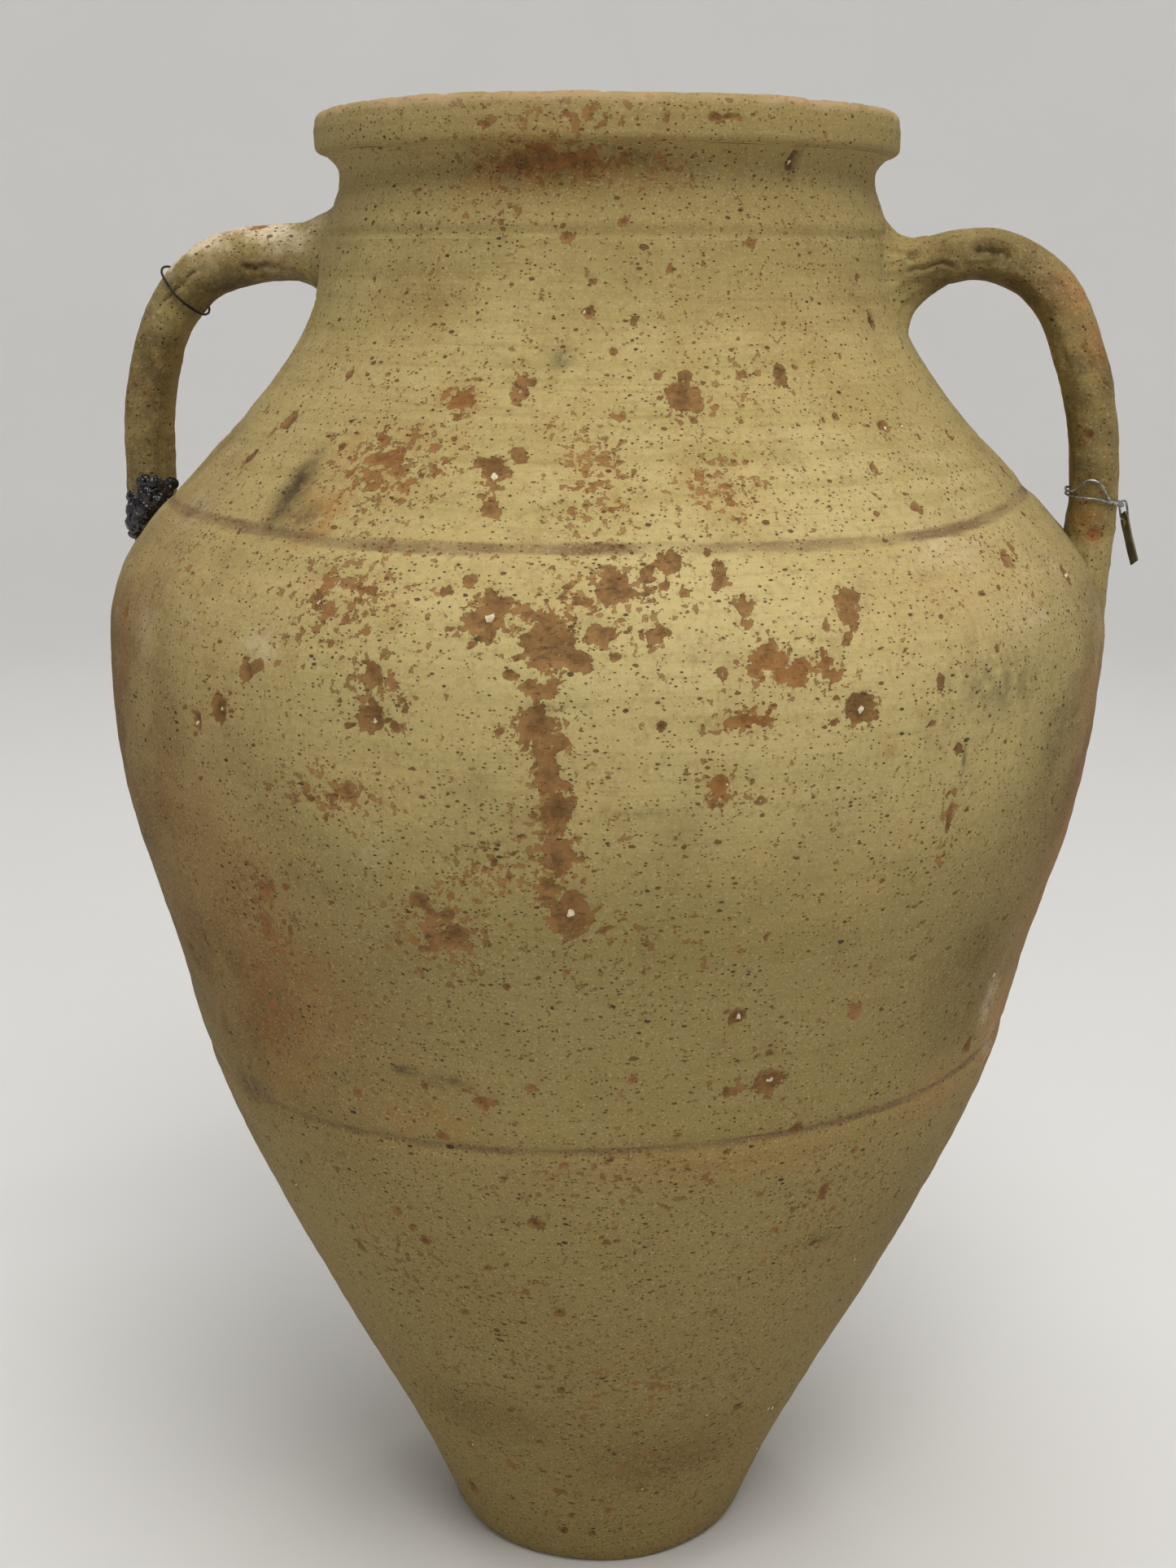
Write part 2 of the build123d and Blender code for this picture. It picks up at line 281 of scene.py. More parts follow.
# Stains by colour: angle, height, half width, half height, strength
stains = {
    "rust": [
        (-26, 475, 16, 10, 1.0), (-20, 493, 28, 18, 0.6), (27, 431, 16, 8, 0.7), (-2, 597, 36, 9, 0.9),
        (38, 401, 6, 4, 0.9), (23, 416, 14, 5, 0.6), (-13, 515, 9, 6, 0.8), (20, 393, 6, 7, 0.6),
        (-14, 250, 40, 20, 0.35), (-30, 300, 34, 50, 0.35), (-150, 470, 30, 16, 0.6),
        (160, 350, 26, 40, 0.4), (8, 486, 20, 20, 0.35), (24, 487, 20, 16, 0.4), (-16, 452, 26, 14, 0.35),
    ],
    "soot_and_shade": [
        (-4, 598, 26, 5, 0.7), (14, 600, 10, 4, 0.5), (-33, 482, 5, 11, 0.9), (-29, 474, 8, 5, 0.7),
        (53, 418, 26, 12, 0.5), (47, 391, 0.9, 8, 0.9), (-14, 275.5, 6, 1.8, 1.0), (-9, 274, 7, 2.4, 0.9),
        (5, 420, 8, 1.0, 0.8), (13, 384, 7, 1.2, 0.8), (2, 529, 4, 3.5, 0.8), (66, 541, 2, 3, 1.0),
        (65, 395, 14, 16, 0.4), (-52, 470, 6, 3, 0.6), (-44, 244, 12, 6, 0.6), (120, 420, 30, 26, 0.5),
        (-140, 380, 26, 30, 0.4), (170, 420, 5, 30, 0.5), (-60, 300, 10, 30, 0.3), (42, 192, 10, 4, 0.5),
        (47, 599, 4, 5, 0.9),
    ],
    "pale": [
        (-25, 432, 16, 9, 0.6), (51, 464, 18, 9, 0.6), (68, 277, 8, 16, 0.8), (-36, 440, 12, 10, 0.4),
        (60, 440, 24, 14, 0.35), (-14, 368, 10, 6, 0.35), (-48, 430, 10, 14, 0.4), (-50, 471, 16, 6, 0.45),
        (130, 450, 26, 14, 0.5), (-160, 300, 26, 16, 0.5), (72, 440, 12, 18, 0.4), (75, 250, 16, 12, 0.5),
    ],
    "blush": [
        (82, 330, 36, 62, 1.0), (76, 262, 26, 26, 0.9), (78, 395, 26, 26, 0.7), (-80, 425, 36, 30, 0.5),
        (-42, 350, 55, 80, 0.4), (-30, 300, 40, 40, 0.35), (-55, 420, 26, 60, 0.45),
        (-38, 270, 40, 24, 0.35), (25, 240, 60, 10, 0.35), (60, 248, 30, 12, 0.5), (95, 310, 40, 60, 0.8),
        (-82, 330, 22, 40, 0.3), (44, 530, 40, 26, 0.2), (50, 455, 40, 20, 0.3), (-170, 240, 60, 40, 0.4),
    ],
    # dirt and painted shade: the broad marks on the jar's left and right sides darken them as if less lit,
    # and the rest is dirt
    "dirt_and_shade": [
        (-64, 375, 112, 105, 1.0), (-44, 290, 84, 58, 0.9), (-66, 225, 50, 60, 0.8), (62, 300, 40, 40, 0.8),
        (80, 370, 66, 95, 0.95), (-74, 130, 50, 60, 0.6), (66, 180, 40, 60, 0.4), (-40, 255, 40, 20, 0.5),
        (-70, 490, 40, 26, 0.6), (-33, 480, 9, 16, 0.9), (28, 70, 40, 20, 0.5), (-20, 90, 40, 16, 0.5),
        (160, 300, 60, 90, 0.6), (-130, 440, 60, 50, 0.5), (120, 200, 50, 70, 0.5), (0, 592, 60, 8, 0.6),
    ],
}
CRATER_SCALE = 0.78
SPECK_COUNT = 620
craters = [(*spot[:2], CRATER_SCALE * spot[2], CRATER_SCALE * spot[3], *spot[4:]) for spot in craters]
# small chips round each crater, then specks all over the jar
scatter = np.random.default_rng(21)
for mark_angle, mark_height, half_w, half_h, depth, _ in list(craters):
    for _ in range(int(half_w * 1.2)):
        turn = scatter.uniform(0, 2 * math.pi)
        away = scatter.uniform(1.1, 2.6)
        size = 0.7 + scatter.exponential(0.13 * half_w)
        degrees_off = math.degrees(away * half_w * math.cos(turn) / 180)
        level = mark_height + away * half_h * math.sin(turn)
        craters.append((mark_angle + degrees_off, level, size, 0.8 * size, 0.5 * depth, 0))
for _ in range(SPECK_COUNT):
    size = 0.9 + scatter.exponential(0.55)
    place = (scatter.uniform(-180, 180), scatter.uniform(15, 560))
    shape = (size, size * scatter.uniform(0.6, 1.3), scatter.uniform(0.7, 1.5))
    craters.append((*place, *shape, int(scatter.uniform() < 0.12)))
# Rings left by the potter's tool: height, depth, width; and fainter scratches: height, depth
tool_rings = [
    (572, 0.9, 1.6), (548, 0.45, 0.9), (545.5, 0.2, 0.7), (494, 0.4, 0.9), (491.5, 0.2, 0.6),
    (590, 0.3, 1.2),
]
tool_scratches = [(503, 0.25), (498, 0.25), (520, 0.15), (533, 0.2), (556, 0.2)]
NECK_RIDGE = 576.5
# The left side is flatter than the rest under the handle
FLAT_SIDE_DEPTH, FLAT_SIDE_LEVEL, FLAT_SIDE_ANGLE = 3.2, 418, -88
LAYERS = ["chip", "flecks", "lime", "seam", "rust", "soot_and_shade", "pale", "blush", "dirt_and_shade", "inner", "worn"]


def mark(layers, name, value, where=slice(None)):
    """Raises a painted layer to a value, at all points or some."""
    layers[name][where] = np.maximum(layers[name][where], value)


def field_of(marks, angle, height, around):
    """The strongest of several soft oval marks at each point; around is a degree's width there."""
    field = np.zeros(len(angle))
    for mark_angle, mark_height, half_w, half_h, strength in marks:
        du = wrapped(angle - mark_angle) * around
        dv = height - mark_height
        field = np.maximum(field, strength * np.exp(-((du / half_w) ** 2) - (dv / half_h) ** 2))
    return field


def relief(angle, height, points, tooled=True):
    """How far the clay stands out from the outline in millimetres, and its painted layers."""
    radius = np.hypot(points[:, 0], points[:, 1])
    layers = {name: np.zeros(len(angle)) for name in LAYERS}

    # throwing rings, a slow wobble, and tool lines round the neck and shoulder
    rings = columns(points[:, 0] * 0.02, points[:, 1] * 0.02, height)
    push = 0.8 * noise(points, 85, 1) + 0.4 * noise(points, 32, 2)
    push += 0.32 * noise(rings, 11, 3) + 0.12 * noise(rings, 3.6, 4)
    push += 0.1 * noise(points, 6, 5)
    push -= FLAT_SIDE_DEPTH * bell(height - FLAT_SIDE_LEVEL, 34) * bell(angle - FLAT_SIDE_ANGLE, 32)
    wander = 0.7 * noise(points, 120, 6)
    if tooled:
        for ring, depth, width in tool_rings:
            push -= depth * bell(height - ring - wander, width)
        push += 0.7 * bell(height - NECK_RIDGE - wander, 3.0)
        for ring, depth in tool_scratches:
            strength = ramp(noise(points, 70, 7 + ring % 7), -0.2, 0.4)
            push -= depth * bell(height - ring - 3 * wander, 0.7) * strength

    # scored seams, each a few scratches in a shallow brown band
    seams = ((shoulder_seam_at(angle), 31), (lower_seam_at(angle), 37)) if tooled else ()
    for seam, seed in seams:
        off = height - seam
        patchy = ramp(noise(points, 24, seed), -0.75, 0.3)
        off = off + 0.35 * noise(points, 9, seed + 9)
        band = 1 - ramp(np.abs(off), 1.2, 2.1)
        layers["seam"] += band * (0.45 + 0.55 * patchy)
        push -= 0.4 * band
        for shift, depth in ((-2.4, 0.45), (0.3, 0.6), (2.7, 0.4)):
            drift = 0.5 * noise(points, 40, seed + shift)
            broken = ramp(noise(points, 30, seed + 5 + shift), -0.6, 0.2)
            push -= depth * bell(off - shift - drift, 0.75) * broken
        push += 0.35 * bell(off + 6.5, 3.2)

    # craters
    ragged = noise(points, 5.5, 41)
    finer = noise(points, 2.4, 42)
    around = np.radians(1.0) * radius
    chip = np.full(len(angle), -1.0)
    for mark_angle, mark_height, half_w, half_h, depth, grain in craters:
        near = np.flatnonzero(np.abs(height - mark_height) < 2.2 * half_h + 2)
        if not len(near):
            continue
        du = wrapped(angle[near] - mark_angle) * around[near]
        dv = height[near] - mark_height
        reach = np.hypot(du / half_w, dv / half_h)
        close = reach < 2
        near, du, dv, reach = near[close], du[close], dv[close], reach[close]
        reach = reach + 0.45 * ragged[near] + 0.42 * finer[near] - 0.05
        push[near] -= depth * (1 - ramp(reach, 0.5, 1.0)) * (0.8 + 0.4 * finer[near])
        chip[near] = np.maximum(chip[near], 1.0 - reach)
        if grain:
            grain_size = 0.16 * min(half_w, half_h) + 0.45
            distance = np.hypot(du - 0.3, dv + 0.4) / grain_size + 0.35 * finer[near]
            push[near] += 1.1 * depth * (1 - ramp(distance, 0.4, 1.1))
            mark(layers, "lime", 1.15 - 0.75 * distance, near)

    # freckled loss of slip
    layers["flecks"] = field_of(freckles, angle, height, around)
    spots = 0.75 * noise(points, 6.5, 51) + 0.6 * noise(points, 3.1, 52)
    layers["chip"] = np.maximum(chip, spots + 0.95 * layers["flecks"] - 0.93)
    push -= 0.3 * ramp(layers["chip"], -0.02, 0.1)

    for stain, places in stains.items():
        layers[stain] = field_of(places, angle, height, around)
    return push, layers


# ---------------- wall pieces, as turned grids
COLUMNS = 600
INNER_STEP = 4

# the angles of the grid's columns, closer together on the front of the jar
fine_angles = np.linspace(-180, 180, 7201)
column_density = 1.0 + 0.9 * (1 - ramp(np.abs(wrapped(fine_angles - FRONT)), 92, 112))
total = np.cumsum(column_density)
angles = np.interp(np.arange(COLUMNS) / COLUMNS * (total[-1] - total[0]) + total[0], total, fine_angles)


def spun(path, around):
    """A (radius, height) path carried round the jar: angles, radii, heights, points, directions."""
    path = np.asarray(path, float)
    run = np.gradient(path, axis=0)
    normal = unit(columns(run[:, 1], -run[:, 0]))
    angle = np.tile(around, len(path))
    radius, height, out, up = (np.repeat(values, len(around)) for values in (*path.T, *normal.T))
    return angle, radius, height, jar_point(angle, radius, height), jar_point(angle, out, up)


def add_hidden(layers, count, inner=0.0):
    """Values of the layers for points added at the end: no marks, and inner clay or not."""
    values = {"chip": -1.0, "inner": inner}
    for layer in LAYERS:
        layers[layer] = np.concatenate([layers[layer], np.full(count, values.get(layer, 0.0))])


def turned_piece(name, outer, inner, extra=None):
    """A closed ring of wall: outer and inner are (radius, height) paths that run upwards."""
    angle, _, height, base, direction = spun(outer, angles)
    push, layers = relief(angle, height, base)
    if extra is not None:
        push = push + extra(height, base, layers)
    points = base + direction * push[:, None]
    points[:, 2] = np.maximum(points[:, 2], 0.0)

    inner_columns = COLUMNS // INNER_STEP
    inner_angle, _, _, inner_base, inner_direction = spun(inner, angles[::INNER_STEP])
    spiral = inner_base * (0.03, 0.03, 1.0)
    spiral[:, 2] += inner_angle * 9 / 360
    inner_push = 0.9 * noise(spiral, 9, 61) + 0.3 * noise(inner_base, 20, 62)
    inner_push[:inner_columns] = 0
    inner_push[-inner_columns:] = 0
    inner_points = inner_base + inner_direction * inner_push[:, None]

    first = len(points)
    inner_last = first + len(inner_points) - inner_columns
    faces = grid_faces(len(outer), COLUMNS) + grid_faces(len(inner), inner_columns, first)
    for outer_row, inner_row in ((0, first), (first - COLUMNS, inner_last)):
        for j in range(inner_columns):
            strip = [outer_row + (j * INNER_STEP + k) % COLUMNS for k in range(INNER_STEP + 1)]
            faces.append(strip + [inner_row + (j + 1) % inner_columns, inner_row + j])
    add_hidden(layers, len(inner_points), inner=1.0)
    return make_object(name, np.concatenate([points, inner_points]), faces, layers)


def wall_path(curve, low, high, rows):
    """(radius, height) points evenly spaced along a wall between two heights."""
    fine = np.linspace(low, high, 400)
    length = lengths_along(columns(curve(fine), fine))
    heights = np.interp(np.linspace(0, length[-1], rows), length, fine)
    return columns(curve(heights), heights)


def arc(centre, radius, start, end, count):
    turn = np.radians(np.linspace(start, end, count))
    return columns(centre[0] + radius * np.cos(turn), centre[1] + radius * np.sin(turn))


def line(start, end, count):
    return np.linspace(start, end, count)


def joined(*stretches):
    """One path from several, without the points where they meet twice."""
    return np.concatenate([stretches[0]] + [stretch[1:] for stretch in stretches[1:]])


pieces = {}
row_counts = {
    "lower_body": (150, 34), "lower_seam_coil": (8, 3), "belly": (148, 30), "shoulder_seam_coil": (9, 3),
    "shoulder": (84, 20),
}
for node, (rows, inner_rows) in row_counts.items():
    low, high = levels(node)
    outer_wall = wall_path(outside, low, high, rows)
    pieces[node] = turned_piece(node + "_clay", outer_wall, wall_path(inside, low, high, inner_rows))

# the foot: a worn, slightly hollowed underside with a rounded edge
foot_radius = float(outside(0.0))
pin = 0.02
foot_path = joined(
    line((pin, 1.2), (foot_radius - 16, 1.0), 10),
    line((foot_radius - 16, 1.0), (foot_radius - 7, 0.0), 5),
    line((foot_radius - 7, 0.0), (foot_radius - 4.5, 0.0), 3),
    arc((foot_radius - 4.5, 5.0), 5.0, -90, -15, 7),
    wall_path(outside, 5.5, floor_top, 9),
)
floor_path = joined(
    line((pin, floor_top - 0.4), (40, floor_top - 0.2), 4),
    line((40, floor_top - 0.2), (float(inside(floor_top + 0.5)), floor_top), 4),
)
pieces["base_disc"] = turned_piece("base_disc_clay", foot_path, floor_path)

# neck: waisted, with a cove under the rim
neck_curve = Curve(*zip(
    *[(level, float(outside(level))) for level in (neck_base - 22, neck_base - 10, neck_base)],
    (neck_base + 8, 112.6), (neck_base + 16, 110.0), (waist_height, 108.0), (waist_height + 5, 109.0),
    (rim_bottom + 0.4, 114.0),
))
inner_neck = Curve(*zip(
    (neck_base - 12, float(inside(neck_base - 12))), (neck_base, float(inside(neck_base - 0.5))),
    (neck_base + 12, 97.5), (neck_base + 24, 95.4), (rim_bottom, mouth_radius),
))
neck_wall = wall_path(neck_curve, neck_base, rim_bottom, 30)
pieces["neck"] = turned_piece("neck_clay", neck_wall, wall_path(inner_neck, neck_base, rim_bottom, 8))


def rim_wear(height, base, layers):
    """The rim's top edge has lost its slip, and is dented and uneven."""
    layers["worn"] = ramp(height + 1.6 * noise(base, 16, 71), jar_height - 5.0, jar_height - 2.0)
    return 0.5 * noise(base, 26, 72) - 0.5 * layers["worn"] * ramp(noise(base, 7, 73), 0.1, 0.7)


rim_edge = 4.6
lip_edge = 3.0
rim_path = joined(
    line((114.0, rim_bottom), (rim_radius - 2.2, rim_bottom + 0.6), 4),
    arc((rim_radius - 2.4, rim_bottom + 3.0), 2.6, -80, 0, 6),
    line((rim_radius + 0.2, rim_bottom + 3.0), (rim_radius + 0.5, jar_height - rim_edge - 3), 8),
    line((rim_radius + 0.5, jar_height - rim_edge - 3), (rim_radius, jar_height - rim_edge), 4),
    arc((rim_radius - rim_edge, jar_height - rim_edge), rim_edge, 0, 84, 10),
    line((rim_radius - rim_edge + 0.5, jar_height), (mouth_radius + lip_edge, jar_height - 0.5), 12),
    arc((mouth_radius + lip_edge, jar_height - 0.5 - lip_edge), lip_edge, 90, 180, 7),
    line((mouth_radius, jar_height - 0.5 - lip_edge), (mouth_radius, rim_bottom + 0.5), 9),
)
rim_inside = line((rim_path[0][0] - 4, rim_bottom), (mouth_radius + 4, rim_bottom), 3)
pieces["rim"] = turned_piece("rim_clay", rim_path, rim_inside, rim_wear)

# ---------------- handles and the clay at their roots
side_sign = {"left": -1, "right": 1}
straps = {
    "left": curve_through([
        (98, 562), (149, 565.5), (173, 557), (186.8, 541.5), (196.5, 516), (200.2, 476), (197.5, 438),
        (187, 410),
    ]),
    "right": curve_through([
        (98, 557), (124, 561), (150, 566.5), (176, 555.5), (190, 531.5), (198.3, 501), (200.5, 470),
        (197, 440), (188, 410),
    ]),
}
strap_half_depth = 15.5
# half thickness on the level part near the neck, and on the upright part
strap_half_thickness = {"left": (12.2, 9.8), "right": (10.6, 10.3)}
STRAP_POWER = 2.25


def half_thickness(side, along):
    level, upright = strap_half_thickness[side]
    return level + (upright - level) * ramp(along, 60, 110)


def oval(turn, power=STRAP_POWER):
    """Unit superellipse: first column across the strap's thickness, second across its depth."""
    circle = columns(np.cos(turn), np.sin(turn))
    return np.sign(circle) * np.abs(circle) ** (2 / power)


def full_turn(count):
    """Angles all the way round, without the last, which would be the first again."""
    return np.linspace(0, 2 * np.pi, count, endpoint=False)


def strap_rings(side, stations, count, grow=0.0):
    """Rings of points round a strap at distances along its centre line, and their outward directions."""
    centre, _ = straps[side]
    across, deep = oval(full_turn(count)).T
    stations = np.repeat(np.asarray(stations, float)[:, None], count, axis=1)
    middle = centre(stations)
    run = unit(centre(stations + 0.5) - centre(stations - 0.5))
    normal = columns(-run[..., 1], run[..., 0])
    half_thick = half_thickness(side, stations) + grow
    half_deep = strap_half_depth + grow
    place = middle + normal * (across * half_thick)[..., None]
    away = unit(columns(across / half_thick, deep / half_deep + 0 * half_thick))
    lean = normal * away[..., :1]
    depth = deep * half_deep + 0 * half_thick
    points = columns(side_sign[side] * place[..., 0], depth, place[..., 1])
    direction = columns(side_sign[side] * lean[..., 0], away[..., 1], lean[..., 1])
    return points, direction


def angle_of(points):
    return np.degrees(np.arctan2(points[:, 0], -points[:, 1]))


def to_path(points, path):
    """Distance of points to a line through several spots."""
    best = np.full(len(points), 1e9)
    for start, end in zip(path[:-1], path[1:]):
        start, end = np.asarray(start, float), np.asarray(end, float)
        run = end - start
        share = np.clip((points - start) @ run / (run @ run), 0, 1)
        best = np.minimum(best, np.linalg.norm(points - start - share[:, None] * run, axis=1))
    return best


# Cracks and folds in the handles: side, width, depth, darkness, path of (x, y, z); darkness is painted
# shade laid along the crack
cracks = [
    ("left", 0.8, 1.0, 0.9, (-165, -14, 561), (-172, -15, 557.5), (-182, -15.5, 548.5), (-188, -15.5, 543)),
    ("left", 1.5, 1.9, 0.9, (-116, -16, 547), (-122, -16, 551.5), (-131, -16, 556.5), (-140, -15.5, 559),
     (-149, -15, 559.5)),
    ("left", 0.6, 0.8, 1.0, (-150, -9, 574.5), (-161, -9, 573.5)),
    ("left", 1.2, 1.3, 0.7, (-129, -12, 552), (-140, -12, 553.5), (-152, -12, 554)),
    ("right", 1.1, 1.5, 1.0, (123, -15.5, 564.5), (127, -15.5, 566), (131, -15.5, 569), (136, -14, 572)),
    ("right", 0.9, 1.3, 0.6, (121, -15.5, 560), (130, -15.5, 561), (136, -15, 563), (140, -15, 561)),
    ("right", 1.9, 2.0, 1.0, (150, -15, 567.5), (155, -15, 567), (160, -15, 565.5)),
    ("right", 1.1, 1.0, 0.35, (146, -14, 562), (156, -14.5, 563), (168, -14, 560), (178, -14, 551)),
    ("right", 0.6, 0.8, 0.5, (191.5, -15.5, 531.5), (197, -15, 524), (202, -13, 516.5)),
]
# Pits in the handles: side, x, y, z, size, depth, 1 if a white grain sits in it
handle_pits = [
    ("left", -190, -15.5, 518.5, 1.6, 1.0, 0), ("left", -190.5, -15.5, 509.5, 1.7, 1.1, 0),
    ("left", -203, -14, 500, 1.3, 0.8, 0), ("left", -146, -6, 574.5, 5, 0.9, 0),
    ("right", 200.8, -13, 530.5, 1.8, 1.0, 1), ("right", 203, -13, 516.3, 1.7, 1.0, 1),
    ("right", 196.5, -15, 497, 2.0, 1.3, 0), ("right", 197, -15, 481, 1.2, 0.8, 0),
    ("right", 199.3, -14, 456.3, 2.2, 1.1, 1), ("right", 201, -14.5, 458, 3, 0.9, 0),
    ("left", -196, 15, 500, 2.4, 1.2, 1), ("right", 186, 15, 540, 2.2, 1.2, 0),
    ("left", -210, 3, 520, 2.6, 1.2, 0), ("right", 209.5, 4, 505, 2.8, 1.3, 1),
]
# Stains on the handles: layer, x, y, z, reach, strength. The pale marks on top of the left strap are a
# painted highlight, and the soot marks under the level parts, on the inner sides of the straps and in the
# recess under the left upper root are painted shade.
handle_stains = [
    ("rust", 189, -14, 554, 7, 0.8), ("rust", 199.5, -13, 533, 6, 1.0), ("blush", 188, -12, 553, 10, 0.8),
    ("blush", 199, -12, 535, 10, 0.9), ("rust", 194, -16, 463, 9, 1.0), ("rust", 200, -15, 457.5, 5, 1.0),
    ("soot_and_shade", 155, -14, 567, 5, 0.8), ("soot_and_shade", 138, -13, 558, 9, 0.35), ("soot_and_shade", -120, -15, 553, 10, 0.5),
    ("rust", -146, -6, 575, 6, 1.0), ("pale", 181, -6, 566, 12, 0.6), ("pale", -140, -4, 577, 24, 0.8),
    ("pale", -120, -4, 577, 18, 0.7), ("soot_and_shade", -196, -15, 470, 14, 0.6), ("soot_and_shade", -178, -13, 545, 10, 0.35),
    ("blush", -200, 6, 500, 20, 0.4), ("soot_and_shade", 187, 0, 470, 12, 0.5), ("soot_and_shade", 189, 0, 455, 9, 0.9),
]
# painted shade, laid in the soot layer, along the inner sides of the straps, under their level parts and
# down the front of the right strap's upright part
handle_stains += [("soot_and_shade", -190, -14, level, 11, 0.6) for level in range(470, 546, 10)]
handle_stains += [("soot_and_shade", spot, -12, 551, 10, 0.65) for spot in range(-176, -118, 8)]
handle_stains += [("soot_and_shade", spot, -13, level, 12, 0.55) for spot, level in (
    (138, 556), (150, 558), (162, 555), (173, 548), (181, 538), (186, 524), (188, 508), (190, 490))]
handle_stains += [("soot_and_shade", 202, -12, level, 15, 0.25) for level in range(468, 546, 12)]
# painted shade, laid in the dirt layer: the upright parts of both straps, the undersides of their level
# parts and the front of the right strap's level part are darkened as if less lit
for sign in (-1, 1):
    handle_stains += [("dirt_and_shade", 199 * sign, -10, level, 20, 0.85) for level in range(470, 540, 14)]
    handle_stains += [("dirt_and_shade", spot * sign, -6, 553, 14, 1.0) for spot in range(142, 190, 12)]
handle_stains += [("dirt_and_shade", spot, -9, 567, 13, 0.7) for spot in range(142, 182, 10)]
# painted highlight, laid in the pale layer: a pale streak along the top of the left strap, as if lit from
# above
for spot in range(126, 186, 6):
    handle_stains.append(("pale", -spot, -6, 576 - 0.012 * (spot - 150) ** 2, 11, 2.4))


def add_marks(side, points, push, layers):
    """Cracks, pits and stains given by their place in space; the cracks' dark lines and some of the stains
    are painted shade, and the pale streak on the left strap is a painted highlight.
    """
    wander = columns(noise(points, 5, 81), noise(points, 5, 82), noise(points, 5, 83))
    moved = points + 0.9 * wander
    for which, width, depth, dark, *path in cracks:
        if which == side:
            gap = to_path(moved, path)
            push -= depth * bell(gap, width)
            push += 0.35 * depth * bell(gap - 2.4 * width, 1.4 * width)
            # painted shade along the crack, laid in the soot layer
            mark(layers, "soot_and_shade", dark * bell(gap, 1.1 * width))
    for which, x, y, z, size, depth, grain in handle_pits:
        if which == side:
            gap = np.linalg.norm(moved - (x, y, z), axis=1) / size
            push -= depth * (1 - ramp(gap, 0.5, 1.0))
            mark(layers, "chip", 1.0 - gap)
            if grain:
                mark(layers, "lime", 1.15 - 0.75 * gap * size / (0.25 * size + 0.5))
    for layer, x, y, z, reach, strength in handle_stains:
        gap = np.linalg.norm(points - (x, y, z), axis=1)
        mark(layers, layer, strength * bell(gap, reach))


STRAP_COLUMNS = 112
STRAP_ROWS = 250
WALL_HIDE = 7.0


def keep_in_wall(points):
    """Holds points that lie inside the jar within the thickness of its wall."""
    radius = np.hypot(points[:, 0], points[:, 1])
    least = outside(np.clip(points[:, 2], 1, waist_height)) - WALL_HIDE
    scale = np.maximum(radius, least) / radius
    return points * columns(scale, scale, np.ones(len(points)))


for side, sign in side_sign.items():
    stations = np.linspace(12, straps[side][1], STRAP_ROWS)
    points, direction = (grid.reshape(-1, 3) for grid in strap_rings(side, stations, STRAP_COLUMNS))
    along = np.repeat(stations, STRAP_COLUMNS)
    ring = np.tile(full_turn(STRAP_COLUMNS), STRAP_ROWS)
    push, layers = relief(angle_of(points), points[:, 2], points, tooled=False)
    pulled = columns(along * 0.07 + 50 * sign, 9 * np.cos(ring), 9 * np.sin(ring))
    push *= 0.8
    push += 0.5 * noise(pulled, 5, 91) + 0.2 * noise(pulled, 2.2, 92)
    push += 0.45 * noise(points, 14, 93) + 0.15 * noise(points, 4, 94)
    push -= 0.35
    add_marks(side, points, push, layers)
    points = keep_in_wall(points + direction * push[:, None])
    faces = grid_faces(STRAP_ROWS, STRAP_COLUMNS)
    for row in (0, STRAP_ROWS - 1):
        faces.append([row * STRAP_COLUMNS + column for column in range(STRAP_COLUMNS)])
    pieces[f"handle_{side}"] = make_object(f"handle_{side}_clay", points, faces, layers)

# Clay smeared from a strap on to the body: distance along the strap where it starts, how much
# further that is on the strap's inner side, middle height, reach up and down on the outer and the
# inner side of the strap, reach sideways, pull along the strap, pull along the wall
ROOT_COLUMNS = 150
ROOT_ROWS = 46
ROOT_DEPTH = {"upper": -26.0, "lower": 38.0}
roots = {
    ("left", "upper"): (39, 2, 565, 25, 21, 26, 10, 8),
    ("left", "lower"): (-56, 0, 437, -27, -19, 25, 12, 10),
    ("right", "upper"): (40, 5, 561, 25, 27, 26, 12, 10),
    ("right", "lower"): (-52, 0, 437, -27, -17, 25, 13, 11),
}


def grid_normals(points):
    """Outward directions of a grid of points that closes along its second axis."""
    across = np.roll(points, -1, axis=1) - np.roll(points, 1, axis=1)
    return unit(np.cross(across, np.gradient(points, axis=0)))


